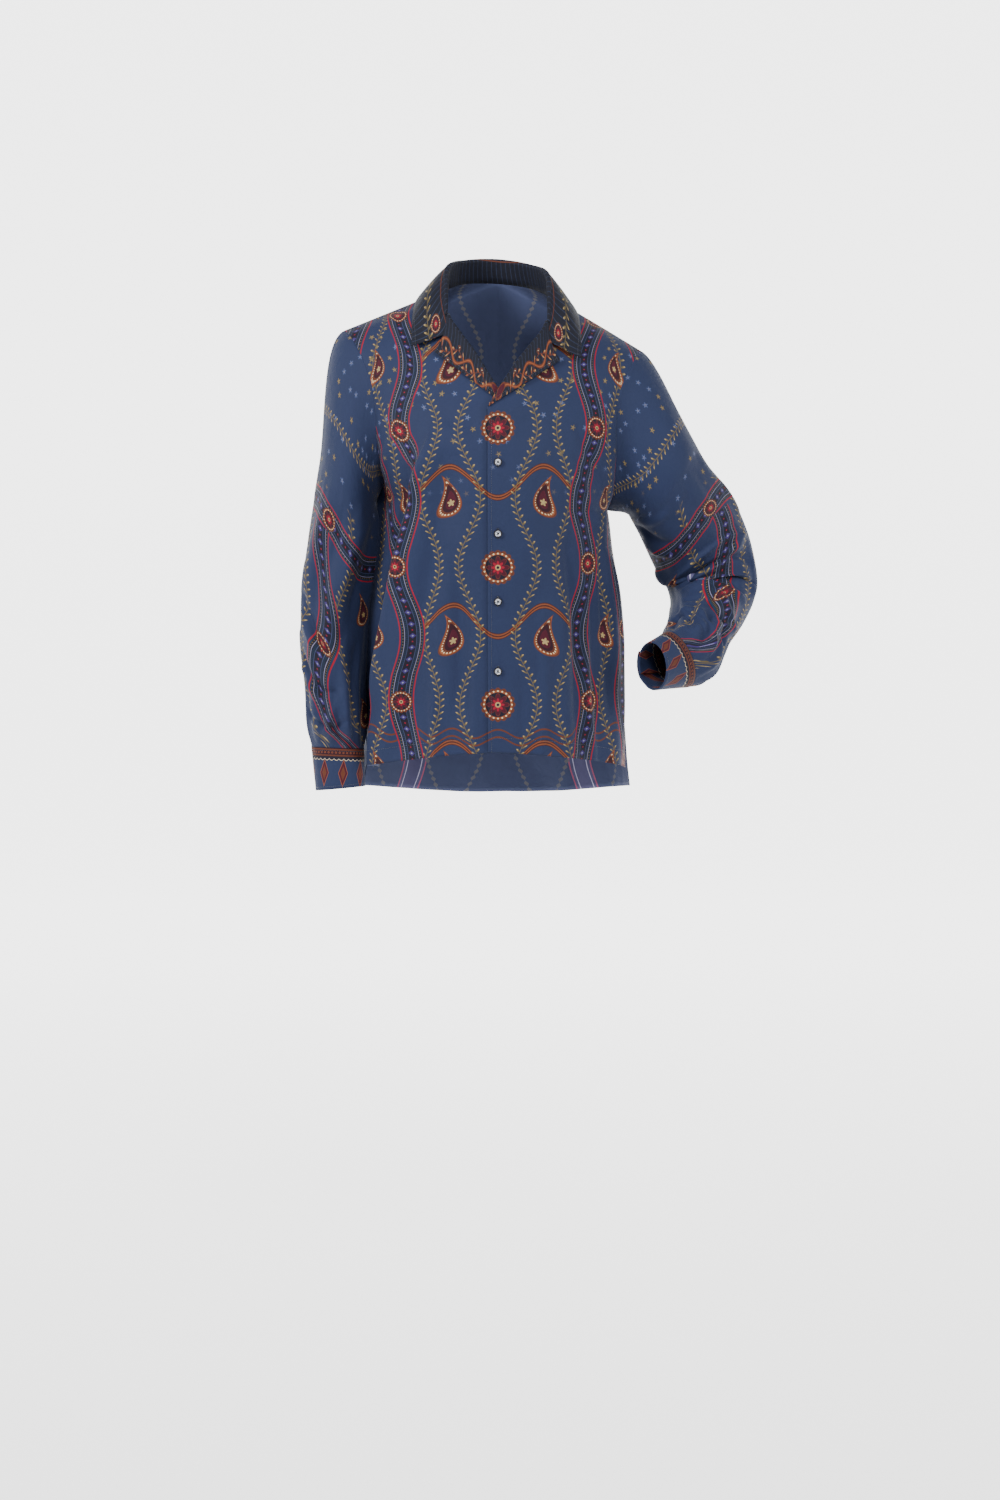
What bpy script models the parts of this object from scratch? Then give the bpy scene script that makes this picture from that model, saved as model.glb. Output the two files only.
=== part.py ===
"""A long-sleeved blouse with an open notched collar, buttoned down the front.

Metres, +Z up. The wearer faces -Y and the wearer's left is +X. The origin is the middle of the neck,
between the two points where the shoulder seams meet the collar.
Each piece of cloth is a wall on a middle surface. The surfaces are worked out from tables of sections,
and pieces that are sewn together share the points of their seam, each standing back half the seam gap.
"""
import math
from collections import namedtuple

import bpy
import numpy as np
from mathutils import Vector

# Driving sizes
CLOTH = 0.0012
CUFF_CLOTH = 0.0018
SEAM_GAP = 0.0003
MITRE_SOFTNESS, MITRE_LIMIT = 0.03, 2.0
FRONT_LAP = 0.0135
SHOULDER_TILT = 0.07
TILT_FROM, TILT_FULL = -0.47, -0.27
SHOULDER_SHIFT = 0.0065
SHOULDER_X = 0.2
SHIFT_FROM, SHIFT_FULL = -0.30, -0.12
UNDER_LAP_SINK = 0.0018
LAP_LIFT_LOW, LAP_LIFT_HIGH = 0.0027, 0.0030
LAP_LIFT_FROM, LAP_LIFT_TO = -0.168, -0.142
LAP_FADE_FROM, LAP_FADE_TO = 0.024, 0.080
ROLL_RADIUS_LOW, ROLL_RADIUS_HIGH = 0.0011, 0.0030
ROLL_BASE = 0.004
LAPEL_LIFT_LOW, LAPEL_LIFT_HIGH = 0.0024, 0.0065
LAPEL_CORNER = (0.0835, -0.0815)
LAPEL_NOTCH = (0.0715, -0.0590)
LAPEL_ROLL_GROWTH = 6.0
FOLD_RADIUS = 0.0034
COLLAR_CLEAR = 0.0032
LAY_REACH, CLEAR_REACH = 0.006, 0.008
TRUNK_HALF_WIDTH, TRUNK_HALF_DEPTH = 0.170, 0.135
BUTTON_HEIGHTS = (-0.218, -0.311, -0.4005, -0.4934)
BUTTON_RADIUS = 0.0055
BUTTON_THICK = 0.0024
BUTTON_GAP = 0.0003
CUFF_LAP = 0.026
CUFF_LAP_LIFT = 0.0026
CUFF_LAP_SLOPE = 0.6
CUFF_START = 250.0
CUFF_BUTTON_INSET = 0.05

# How full a round section is near its inner and its outer edge
INNER_FULLNESS, OUTER_FULLNESS = 0.217, 0.22
# How far into the front the way across it is read
EDGE_STEP = 0.02

# How many cells each piece has
ACROSS_PANEL = 14
STRAIGHT_CELLS, ROLL_CELLS, TURNED_CELLS = 2, 4, 6
CAP_CELLS = 6
CUFF_CELLS, CUFF_ROWS = 30, 3

# One row for each section of a front, from the hem up: the inner edge is at the centre front, and above
# the break it is the roll line and then the neck. The outer edge is the side seam and then the armhole.
Section = namedtuple("Section", "name in_x in_y in_z out_x out_y out_z roundness rows")
FRONT = (
    Section("hem",         -0.0135, -0.128, -0.603, 0.1735, -0.004, -0.640, 1.00, 2),
    Section("vent top",    -0.0135, -0.131, -0.545, 0.1715, 0.000, -0.570, 1.00, 2),
    Section("hip",         -0.0135, -0.138, -0.470, 0.1700, 0.002, -0.480, 1.00, 2),
    Section("waist",       -0.0135, -0.144, -0.390, 0.1640, 0.003, -0.395, 1.00, 2),
    Section("under bust",  -0.0135, -0.148, -0.320, 0.1540, 0.002, -0.325, 1.00, 1),
    Section("armpit",      -0.0135, -0.148, -0.275, 0.1490, 0.000, -0.280, 1.00, 2),
    Section("chest",       -0.0135, -0.145, -0.235, 0.1550, -0.035, -0.252, 0.90, 1),
    Section("upper chest", -0.0135, -0.137, -0.190, 0.1590, -0.053, -0.205, 0.80, 1),
    Section("break",       -0.0135, -0.124, -0.147, 0.1610, -0.058, -0.158, 0.70, 3),
    Section("roll middle", 0.0280, -0.091, -0.088, 0.1670, -0.052, -0.120, 0.45, 3),
    Section("roll top",    0.0680, -0.052, -0.037, 0.1800, -0.035, -0.088, 0.25, 2),
    Section("neck side",   0.0725, -0.021, -0.014, 0.1910, -0.014, -0.070, 0.15, 3),
    Section("shoulder",    0.0700, 0.010, 0.000, 0.2000, 0.010, -0.064, 0.00, 0),
)
VENT_TOP, ARMPIT, BREAK, ROLL_TOP, FRONT_END = 1, 5, 8, 10, 12

# The same for half of the back, whose inner edge is the centre back and then the back of the neck
BACK = (
    Section("hem",         0.0, 0.135, -0.694, 0.1800, 0.016, -0.668, 1.00, 2),
    Section("vent top",    0.0, 0.128, -0.600, 0.1715, 0.000, -0.570, 1.00, 2),
    Section("hip",         0.0, 0.120, -0.495, 0.1700, 0.002, -0.480, 1.00, 2),
    Section("waist",       0.0, 0.108, -0.405, 0.1640, 0.003, -0.395, 1.00, 2),
    Section("under bust",  0.0, 0.113, -0.330, 0.1540, 0.002, -0.325, 1.00, 1),
    Section("armpit",      0.0, 0.119, -0.283, 0.1490, 0.000, -0.280, 1.00, 2),
    Section("chest",       0.0, 0.123, -0.225, 0.1550, 0.038, -0.252, 0.90, 2),
    Section("upper back",  0.0, 0.119, -0.160, 0.1600, 0.060, -0.196, 0.80, 1),
    Section("blades",      0.0, 0.108, -0.095, 0.1660, 0.064, -0.150, 0.70, 2),
    Section("high back",   0.0, 0.092, -0.035, 0.1770, 0.055, -0.108, 0.50, 2),
    Section("neck back",   0.0, 0.077, 0.012, 0.1850, 0.043, -0.086, 0.35, 3),
    Section("neck side",   0.044, 0.057, 0.009, 0.1930, 0.027, -0.073, 0.15, 3),
    Section("shoulder",    0.070, 0.010, 0.000, 0.2000, 0.010, -0.064, 0.00, 0),
)
NECK_BACK, BACK_END = 10, 12

# One row for each station of the collar, from the lapel round to the centre back: where the stand meets
# the fold, which way is outward there, and the middle and edge of the fall
Station = namedtuple("Station", "name fold_x fold_y fold_z out_x out_y mid_x mid_y mid_z edge_x edge_y edge_z")
COLLAR = (
    Station("lapel",       0.0670, -0.055, -0.034, 0.20, -1.00, 0.0715, -0.072, -0.059, 0.1120, -0.078, -0.0765),
    Station("neck side",   0.0660, -0.024, 0.002, 0.90, -0.55, 0.0930, -0.044, -0.021, 0.1120, -0.047, -0.0460),
    Station("shoulder",    0.0625, 0.010, 0.029, 1.00, 0.08, 0.0880, 0.011, 0.0095, 0.1050, 0.012, -0.0130),
    Station("back side",   0.0400, 0.049, 0.037, 0.66, 0.75, 0.0600, 0.069, 0.020, 0.0720, 0.082, -0.0080),
    Station("centre back", 0.0000, 0.070, 0.041, 0.00, 1.00, 0.0000, 0.089, 0.024, 0.0000, 0.098, -0.0030),
)
COLLAR_ROWS = (2, 3, 3, 3, 0)

# One row for each ring of a sleeve, from the bicep to the end of the cuff: the two ends of its long axis,
# the depth of its centre and half its size across that axis
Ring = namedtuple("Ring", "name outer_x outer_z inner_x inner_z centre_y half_depth rows")
SLEEVE_RIGHT = (
    Ring("bicep",       -0.240, -0.225, -0.163, -0.284, 0.000, 0.068, 1),
    Ring("upper arm",   -0.249, -0.283, -0.166, -0.315, -0.003, 0.067, 1),
    Ring("over elbow",  -0.259, -0.340, -0.171, -0.354, -0.006, 0.063, 1),
    Ring("elbow",       -0.266, -0.395, -0.177, -0.396, -0.009, 0.060, 1),
    Ring("under elbow", -0.267, -0.445, -0.181, -0.443, -0.013, 0.057, 1),
    Ring("forearm",     -0.266, -0.485, -0.183, -0.484, -0.017, 0.054, 1),
    Ring("low forearm", -0.260, -0.532, -0.184, -0.531, -0.022, 0.050, 2),
    Ring("above cuff",  -0.256, -0.585, -0.183, -0.586, -0.027, 0.044, 2),
    Ring("cuff top",    -0.252, -0.608, -0.182, -0.611, -0.030, 0.030, 0),
    Ring("cuff end",    -0.246, -0.667, -0.180, -0.661, -0.036, 0.028, 0),
)
SLEEVE_LEFT = (
    Ring("bicep",       0.259, -0.190, 0.179, -0.300, 0.010, 0.066, 1),
    Ring("upper arm",   0.281, -0.228, 0.193, -0.325, 0.020, 0.060, 1),
    Ring("mid arm",     0.305, -0.258, 0.205, -0.350, 0.034, 0.056, 1),
    Ring("over elbow",  0.328, -0.297, 0.215, -0.373, 0.047, 0.052, 1),
    Ring("elbow",       0.346, -0.344, 0.224, -0.391, 0.054, 0.051, 1),
    Ring("elbow point", 0.353, -0.403, 0.233, -0.401, 0.050, 0.051, 1),
    Ring("under elbow", 0.338, -0.437, 0.236, -0.412, 0.026, 0.049, 1),
    Ring("forearm",     0.318, -0.463, 0.235, -0.423, -0.008, 0.046, 1),
    Ring("low forearm", 0.298, -0.489, 0.231, -0.435, -0.044, 0.043, 2),
    Ring("above cuff",  0.282, -0.511, 0.228, -0.443, -0.071, 0.040, 2),
    Ring("cuff top",    0.254, -0.519, 0.223, -0.446, -0.096, 0.026, 0),
    Ring("cuff end",    0.206, -0.519, 0.202, -0.456, -0.132, 0.0245, 0),
)

# The largest folds. On the trunk a fold runs from one angle round from the centre front, in degrees
# towards the wearer's left, and one height, to another, and bends sideways by bow. Its two half widths
# are on the wearer's right and left of it, and rise is outward.
Fold = namedtuple("Fold", "from_turn from_height to_turn to_height bow right_width left_width rise")
TRUNK_FOLDS = (
    Fold(-26.0, -0.170, -75.0, -0.72, -0.006, 0.014, 0.050, 0.026),
    Fold(-41.0, -0.230, -86.0, -0.69, -0.004, 0.018, 0.016, -0.013),
    Fold(-90.0, -0.262, -90.0, -0.62, 0.0, 0.060, 0.050, 0.009),
    Fold(-112.0, -0.258, -107.0, -0.90, 0.0, 0.034, 0.030, 0.018),
    Fold(-18.0, -0.330, -16.0, -0.57, 0.004, 0.020, 0.016, -0.005),
    Fold(25.0, -0.330, 33.0, -0.66, 0.004, 0.016, 0.022, 0.007),
    Fold(46.0, -0.300, 52.0, -0.68, -0.004, 0.020, 0.020, -0.006),
    Fold(66.0, -0.330, 68.0, -0.68, 0.003, 0.016, 0.020, 0.006),
    Fold(118.0, -0.250, 122.0, -0.74, 0.006, 0.024, 0.020, 0.009),
    Fold(150.0, -0.200, 148.0, -0.76, -0.006, 0.026, 0.026, -0.008),
    Fold(172.0, -0.260, 176.0, -0.76, 0.004, 0.020, 0.026, 0.007),
    Fold(-158.0, -0.230, -162.0, -0.76, 0.004, 0.024, 0.022, -0.007),
    Fold(-134.0, -0.220, -136.0, -0.75, -0.006, 0.020, 0.024, 0.007),
)
FOLD_GIRTH_RADIUS = 0.155

# On a sleeve a fold runs from one turn round the sleeve, in degrees from the underarm by way of the
# front, and one share of the length from bicep to cuff, to another
SLEEVE_RIGHT_FOLDS = (
    Fold(60.0, 0.02, 95.0, 0.62, 0.006, 0.014, 0.020, 0.006),
    Fold(100.0, 0.10, 130.0, 0.75, -0.006, 0.012, 0.016, -0.005),
    Fold(150.0, 0.30, 120.0, 0.98, 0.004, 0.014, 0.014, 0.005),
    Fold(240.0, 0.05, 285.0, 0.70, 0.004, 0.018, 0.016, 0.006),
    Fold(300.0, 0.25, 270.0, 0.95, -0.004, 0.014, 0.014, -0.005),
)
SLEEVE_LEFT_FOLDS = (
    Fold(20.0, 0.44, 150.0, 0.34, 0.010, 0.012, 0.016, 0.008),
    Fold(25.0, 0.53, 160.0, 0.50, 0.008, 0.009, 0.009, -0.008),
    Fold(30.0, 0.64, 150.0, 0.60, 0.008, 0.012, 0.014, 0.006),
    Fold(50.0, 0.95, 165.0, 0.72, -0.006, 0.012, 0.012, 0.006),
    Fold(215.0, 0.12, 290.0, 0.42, 0.006, 0.016, 0.018, 0.006),
    Fold(330.0, 0.60, 250.0, 0.90, 0.006, 0.014, 0.016, 0.006),
)
SLEEVE_FOLDS_FULL, SLEEVE_FOLDS_FADE = 0.12, 0.93

# The sleeve is gathered into the cuff: how many gathers, how high they are and how soon they fade upward
GATHERS, GATHER_RISE, GATHER_FADE = 11, 0.0022, 7
# How much straighter the top of the cap leaves the shoulder, and how much it turns down with the arm
CAP_FLATNESS, CAP_TURN = 0.45, 0.01

# A button's section from its back to its face: distance from the middle and height, as shares of the
# radius and the thickness. The hole's pitch is its distance from the middle.
BUTTON_SECTION = ((0.0, 0.0), (0.72, 0.0), (0.97, 0.25), (1.0, 0.60), (0.90, 1.0), (0.76, 0.98), (0.60, 0.66),
                  (0.0, 0.62))
BUTTON_SIDES = 20
BUTTON_HOLE_RADIUS, BUTTON_HOLE_PITCH = 0.0007, 0.0014
BUTTON_HOLE_SIDES = 6

NAVY = (0.030, 0.052, 0.125)
DARK_NAVY = (0.020, 0.028, 0.060)
BUTTON_GREY = (0.42, 0.43, 0.45)


def ramp(value, start, end):
    """0 before start, 1 after end and smooth between them."""
    t = np.clip((value - start) / (end - start), 0.0, 1.0)
    return t * t * (3.0 - 2.0 * t)


def unit(vectors):
    length = np.linalg.norm(vectors, axis=-1, keepdims=True)
    return vectors / np.maximum(length, 1e-12)


def stations(rows):
    """Positions along a table: whole numbers are its rows, with as many steps between as each row says."""
    places = [i + k / count for i, count in enumerate(rows[:-1]) for k in range(count)]
    return np.array(places + [len(rows) - 1.0])


def smooth(points, at, corners=()):
    """A curve through points, read at places counted in points. It bends sharply only at corners."""
    points = np.asarray(points, float)
    if points.ndim == 1:
        return smooth(points[:, None], at, corners)[:, 0]
    step = np.maximum(np.linalg.norm(np.diff(points, axis=0), axis=1), 1e-6)[:, None]
    slope = np.diff(points, axis=0) / step
    arrive = np.vstack([slope[:1], slope])
    leave = np.vstack([slope, slope[-1:]])
    for i in range(1, len(points) - 1):
        if i not in corners:
            mean = (slope[i - 1] * step[i] + slope[i] * step[i - 1]) / (step[i - 1] + step[i])
            arrive[i] = mean
            leave[i] = mean
    i = np.clip(np.floor(at).astype(int), 0, len(points) - 2)
    t = (np.asarray(at) - i)[:, None]
    h = step[i]
    return ((2 * t**3 - 3 * t**2 + 1) * points[i] + (t**3 - 2 * t**2 + t) * h * leave[i]
            + (3 * t**2 - 2 * t**3) * points[i + 1] + (t**3 - t**2) * h * arrive[i + 1])


def fold_rise(around, along, folds, radius):
    """Height of the folds at points given by distance around and distance along."""
    rise = np.zeros(np.broadcast(around, along).shape)
    for fold in folds:
        start = np.array([math.radians(fold.from_turn) * radius, fold.from_height])
        end = np.array([math.radians(fold.to_turn) * radius, fold.to_height])
        length = np.linalg.norm(end - start)
        run = (end - start) / length
        a, b = around - start[0], along - start[1]
        t = (a * run[0] + b * run[1]) / length
        off = a * -run[1] + b * run[0] - fold.bow * np.sin(np.pi * np.clip(t, 0, 1))
        side = off * np.sign(-run[1])
        width = np.where(side > 0, fold.left_width, fold.right_width)
        ends = np.sqrt(np.clip(4 * t * (1 - t), 0, 1))
        rise += fold.rise * ends * np.exp(-(off / width) ** 2)
    return rise


def fold_trunk(points):
    """Moves points of the trunk outward by its folds, the same for every piece that has the point."""
    x, y, z = points[..., 0], points[..., 1], points[..., 2]
    turn = np.arctan2(x / TRUNK_HALF_WIDTH, -y / TRUNK_HALF_DEPTH)
    rise = np.zeros(x.shape)
    for shift in (-2 * np.pi, 0, 2 * np.pi):
        rise += fold_rise((turn + shift) * FOLD_GIRTH_RADIUS, z, TRUNK_FOLDS, FOLD_GIRTH_RADIUS)
    outward = unit(np.stack([x / TRUNK_HALF_WIDTH**2, y / TRUNK_HALF_DEPTH**2, np.zeros(x.shape)], -1))
    return points + outward * rise[..., None]


def tilt(points):
    """The raised arm's shoulder is lower and drawn in; both fade out down the body."""
    points = points.copy()
    x, z = points[..., 0], points[..., 2]
    shift = SHOULDER_SHIFT * (x / SHOULDER_X)**2 * ramp(z, SHIFT_FROM, SHIFT_FULL)
    points[..., 2] -= SHOULDER_TILT * x * ramp(z, TILT_FROM, TILT_FULL)
    points[..., 0] -= shift
    return points


def column(table, *names):
    return np.array([[getattr(row, name) for name in names] for row in table])


def panel(table, at, across, inner):
    """Rows of a panel: Bezier curves from the inner to the outer edge, as round as the section says."""
    outer = smooth(column(table, "out_x", "out_y", "out_z"), at, corners=(VENT_TOP, ARMPIT))
    q = smooth(column(table, "roundness")[:, 0], at)[:, None]
    third = np.full_like(q, 1 / 3)
    span = outer - inner
    first = inner + span * np.hstack([1 / 3 + INNER_FULLNESS * q, (1 - q) / 3, third])
    second = outer - span * np.hstack([(1 - q) / 3, 1 / 3 + OUTER_FULLNESS * q, third])
    t = np.asarray(across)[None, :, None]
    inner, first, second, outer = (edge[:, None, :] for edge in (inner, first, second, outer))
    return (1 - t)**3 * inner + 3 * (1 - t)**2 * t * first + 3 * (1 - t) * t**2 * second + t**3 * outer


def front_surface(side, at, across):
    """The front on the given side, +1 for the wearer's left, whose edge lies over the other."""
    inner = smooth(column(FRONT, "in_x", "in_y", "in_z"), at, corners=(BREAK,))
    points = panel(FRONT, at, across, inner)
    x, z = points[..., 0], points[..., 2]
    if side > 0:
        lift = LAP_LIFT_LOW + LAP_LIFT_HIGH * ramp(z, LAP_LIFT_FROM, LAP_LIFT_TO)
        points[..., 1] -= lift * (1 - ramp(x, LAP_FADE_FROM, LAP_FADE_TO))
    else:
        points[..., 1] += UNDER_LAP_SINK * (1 - ramp(x, -FRONT_LAP, FRONT_LAP))
    points[..., 0] *= side
    return tilt(fold_trunk(points))


def back_surface(side, at, across):
    """Half of the back. Above the neck's centre its inner edge follows the neck round to the shoulder."""
    edge = column(BACK, "in_x", "in_y", "in_z")
    neck = edge[NECK_BACK:]
    whole_neck = np.vstack([neck[:0:-1] * [-1, 1, 1], neck])
    centre = smooth(edge[:NECK_BACK + 1], np.minimum(at, NECK_BACK))
    around = smooth(whole_neck, np.maximum(at - NECK_BACK, 0) + len(neck) - 1)
    inner = np.where((at <= NECK_BACK)[:, None], centre, around)
    points = panel(BACK, at, across, inner)
    points[..., 0] *= side
    return tilt(fold_trunk(points))


def lay_on(points, cloth, lift):
    """Puts points in front of the cloth by lift, at their own x and z."""
    flat = cloth.reshape(-1, 3)
    away = ((points[..., None, 0] - flat[:, 0])**2 + (points[..., None, 2] - flat[:, 2])**2)
    weight = np.exp(-(away - away.min(-1, keepdims=True)) / LAY_REACH**2)
    points = points.copy()
    points[..., 1] = (weight * flat[:, 1]).sum(-1) / weight.sum(-1) - lift
    return points


def keep_clear(points, cloth, normals, clearance):
    """Moves points out until they are the clearance off the nearest cloth."""
    flat, out = cloth.reshape(-1, 3), normals.reshape(-1, 3)
    away = np.linalg.norm(points[..., None, :] - flat, axis=-1)
    weight = np.exp(-(away**2 - away.min(-1, keepdims=True)**2) / CLEAR_REACH**2)[..., None]
    near = (weight * flat).sum(-2) / weight.sum(-2)
    normal = unit((weight * out).sum(-2))
    height = ((points - near) * normal).sum(-1)
    short = np.maximum(clearance - height, 0)
    return points + normal * short[..., None]


def grid_normals(grid, outward_like):
    """Normals of a grid, turned to the side of the given outward directions."""
    normal = unit(np.cross(np.gradient(grid, axis=0), np.gradient(grid, axis=1)))
    return normal * np.sign((normal * outward_like).sum(-1, keepdims=True))


def turned_part(start, middle, end):
    """Columns of a curve from start through middle to end, without the start."""
    shares = [k / TURNED_CELLS for k in range(1, TURNED_CELLS + 1)]
    return [start * (1 - s) * (1 - 2 * s) + middle * 4 * s * (1 - s) + end * s * (2 * s - 1) for s in shares]


def lapel_surface(side, at):
    """The turned lapel: short base, roll and turned part, from the break up to the seam with the collar."""
    edge = front_surface(side, at, [0.0, EDGE_STEP])
    base, into = edge[:, 0], unit(edge[:, 1] - edge[:, 0])
    roll = unit(np.gradient(base, axis=0))
    away = -unit(into - roll * (into * roll).sum(-1, keepdims=True))
    out = np.cross(roll, away)
    out *= -np.sign(out[:, 1:2])
    t = ((at - BREAK) / (ROLL_TOP - BREAK))[:, None]
    radius = ROLL_RADIUS_LOW + (ROLL_RADIUS_HIGH - ROLL_RADIUS_LOW) * t
    fold = base + away * ROLL_BASE * t
    columns = [base + away * ROLL_BASE * t * k / STRAIGHT_CELLS for k in range(STRAIGHT_CELLS)]
    size = np.minimum(t * LAPEL_ROLL_GROWTH, 1)
    for k in range(ROLL_CELLS + 1):
        turn = math.pi * k / ROLL_CELLS
        columns.append(fold + size * radius * (out * (1 - math.cos(turn)) + away * math.sin(turn)))
    cloth = front_surface(side, np.linspace(ARMPIT + 1, FRONT_END, 40), np.linspace(0, 1, 30))
    start = columns[-1]
    first = np.array([side * FRONT[BREAK].in_x, 0, FRONT[BREAK].in_z])
    corner = np.array([side * LAPEL_CORNER[0], 0, LAPEL_CORNER[1]])
    notch = np.array([side * LAPEL_NOTCH[0], 0, LAPEL_NOTCH[1]])
    end = tilt(first + (corner - first) * t)
    bend = tilt(notch) - (start[-1] + end[-1]) / 2
    middle = (start + end) / 2 + bend * t**2
    lift = LAPEL_LIFT_LOW + (LAPEL_LIFT_HIGH - LAPEL_LIFT_LOW) * t[:, 0]
    end = lay_on(end, cloth, lift)
    middle = lay_on(middle, cloth, lift)
    end[0] = base[0]
    middle[0] = base[0]
    columns += turned_part(start, middle, end)
    return np.stack(columns, axis=1)


def whole_collar(*names):
    """A column of the collar's table, mirrored to run from the wearer's right lapel to the left one."""
    half = column(COLLAR, *names)
    mirrored = half * np.array([-1, 1, 1])[:len(names)]
    return np.vstack([mirrored, half[-2::-1]])


def collar_surface(at, seam, body, normals, right_end, left_end):
    """The collar from one lapel round the neck to the other. Its ends are the lapels' top edges."""
    fold = tilt(smooth(whole_collar("fold_x", "fold_y", "fold_z"), at))
    middle = tilt(smooth(whole_collar("mid_x", "mid_y", "mid_z"), at))
    edge = tilt(smooth(whole_collar("edge_x", "edge_y", "edge_z"), at))
    out = np.pad(smooth(whole_collar("out_x", "out_y"), at), ((0, 0), (0, 1)))
    up = unit(fold - seam)
    out = unit(out - up * (out * up).sum(-1, keepdims=True))
    columns = [seam + (fold - seam) * k / STRAIGHT_CELLS for k in range(STRAIGHT_CELLS)]
    for k in range(ROLL_CELLS + 1):
        turn = math.pi * k / ROLL_CELLS
        columns.append(fold + FOLD_RADIUS * (out * (1 - math.cos(turn)) + up * math.sin(turn)))
    columns += turned_part(columns[-1], middle, edge)
    grid = np.stack(columns, axis=1)
    turned = STRAIGHT_CELLS + ROLL_CELLS
    grid[:, turned + 1:] = keep_clear(grid[:, turned + 1:], body, normals, COLLAR_CLEAR)
    notch = turned + TURNED_CELLS // 2
    for row, lapel in ((0, right_end), (-1, left_end)):
        share = np.linspace(0, 1, TURNED_CELLS // 2 + 1)[:, None]
        grid[row, notch:] = lapel[notch] * (1 - share) + grid[row, -1] * share
        grid[row, :notch] = lapel[:notch]
    return grid


def sleeve_ring(side, rings, at):
    """Centres and half axes of a sleeve's rings: the long one outward and the other to its front."""
    outer_x, outer_z, inner_x, inner_z, centre_y, half_depth = smooth(
        column(rings, "outer_x", "outer_z", "inner_x", "inner_z", "centre_y", "half_depth"), at).T
    flat = np.zeros(len(at))
    outer = np.stack([outer_x, flat, outer_z], -1)
    inner = np.stack([inner_x, flat, inner_z], -1)
    centre = (outer + inner) / 2 + np.stack([flat, centre_y, flat], -1)
    half = (outer - inner) / 2
    axis = unit(np.gradient(centre, axis=0))
    front = side * unit(np.cross(axis, half)) * half_depth[:, None]
    return centre, half, front, axis


def ring_places(rings):
    """Where the sleeve's rings are along its table, and then the cuff's end."""
    return np.append(stations(column(rings, "rows")[:-1, 0].astype(int)), len(rings) - 1.0)


def loop_turns(loop):
    """How far round each point of the armhole is: 0 at the armpit and pi at the shoulder."""
    step = np.linalg.norm(np.diff(np.vstack([loop, loop[:1]]), axis=0), axis=1)
    far = np.append(0, np.cumsum(step))
    top = len(loop) // 2
    turn = np.where(far < far[top], far / far[top], 1 + (far - far[top]) / (far[-1] - far[top]))
    return turn[:-1] * np.pi


def sleeve_surface(side, rings, folds, loop, leave):
    """A sleeve from its armhole loop to the cuff: a cap of smooth runs and then rings of the table."""
    turn = loop_turns(loop)
    centre, half, front, axis = (part[:-1] for part in sleeve_ring(side, rings, ring_places(rings)))
    outward = -half[:, None] * np.cos(turn)[None, :, None] + front[:, None] * np.sin(turn)[None, :, None]
    length = np.append(0, np.cumsum(np.linalg.norm(np.diff(centre, axis=0), axis=1)))
    share = length / length[-1]
    radius = np.linalg.norm(outward, axis=-1).mean()
    rise = np.zeros(outward.shape[:2])
    for shift in (-2 * np.pi, 0, 2 * np.pi):
        rise += fold_rise((turn + shift)[None] * radius, share[:, None], folds, radius)
    rise *= (ramp(share, 0, SLEEVE_FOLDS_FULL) * (1 - ramp(share, SLEEVE_FOLDS_FADE, 1)))[:, None]
    peak = GATHER_FADE / (GATHER_FADE + 1)
    swell = (1 - share) * share**GATHER_FADE / ((1 - peak) * peak**GATHER_FADE)
    gather = GATHER_RISE * np.cos(GATHERS * turn)[None] * swell[:, None]
    tube = centre[:, None] + outward + unit(outward) * (rise + gather)[..., None]
    first, down = tube[0], axis[0]
    reach = np.linalg.norm(first - loop, axis=-1, keepdims=True)
    top = (np.sin(turn / 2)**2)[:, None]
    start = unit(leave * top + unit(first - loop) * (1 - top)) * reach * (1 - CAP_FLATNESS * top)
    end = unit(tube[1] - tube[0] + down * CAP_TURN) * reach
    cap = []
    for k in range(CAP_CELLS):
        t = k / CAP_CELLS
        cap.append((2 * t**3 - 3 * t**2 + 1) * loop + (t**3 - 2 * t**2 + t) * start
                   + (3 * t**2 - 2 * t**3) * first + (t**3 - t**2) * end)
    return np.vstack([np.array(cap), tube])


def cuff_surface(side, rings):
    """A cuff: a band once round and past itself by the lap, which is on the hidden side."""
    centre, half, front, axis = sleeve_ring(side, rings, ring_places(rings))
    girth = 2 * math.pi * math.sqrt((half[-1] @ half[-1] + front[-1] @ front[-1]) / 2)
    lap = 2 * math.pi * CUFF_LAP / girth
    turn = math.radians(CUFF_START) + np.linspace(0, 2 * math.pi + lap, CUFF_CELLS + 1)
    over = ramp(turn - turn[0], 2 * math.pi - lap * CUFF_LAP_SLOPE, 2 * math.pi) * CUFF_LAP_LIFT
    grid = []
    for k in range(CUFF_ROWS + 1):
        t = k / CUFF_ROWS
        middle, long_axis, front_axis = (a[-2] * (1 - t) + a[-1] * t for a in (centre, half, front))
        out = -long_axis * np.cos(turn)[:, None] + front_axis * np.sin(turn)[:, None]
        grid.append(middle + out + unit(out) * over[:, None])
    return np.array(grid)


def place(point):
    """The point as a key that is the same in every piece that has it."""
    return tuple(np.round(point, 6) + 0.0)


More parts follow.
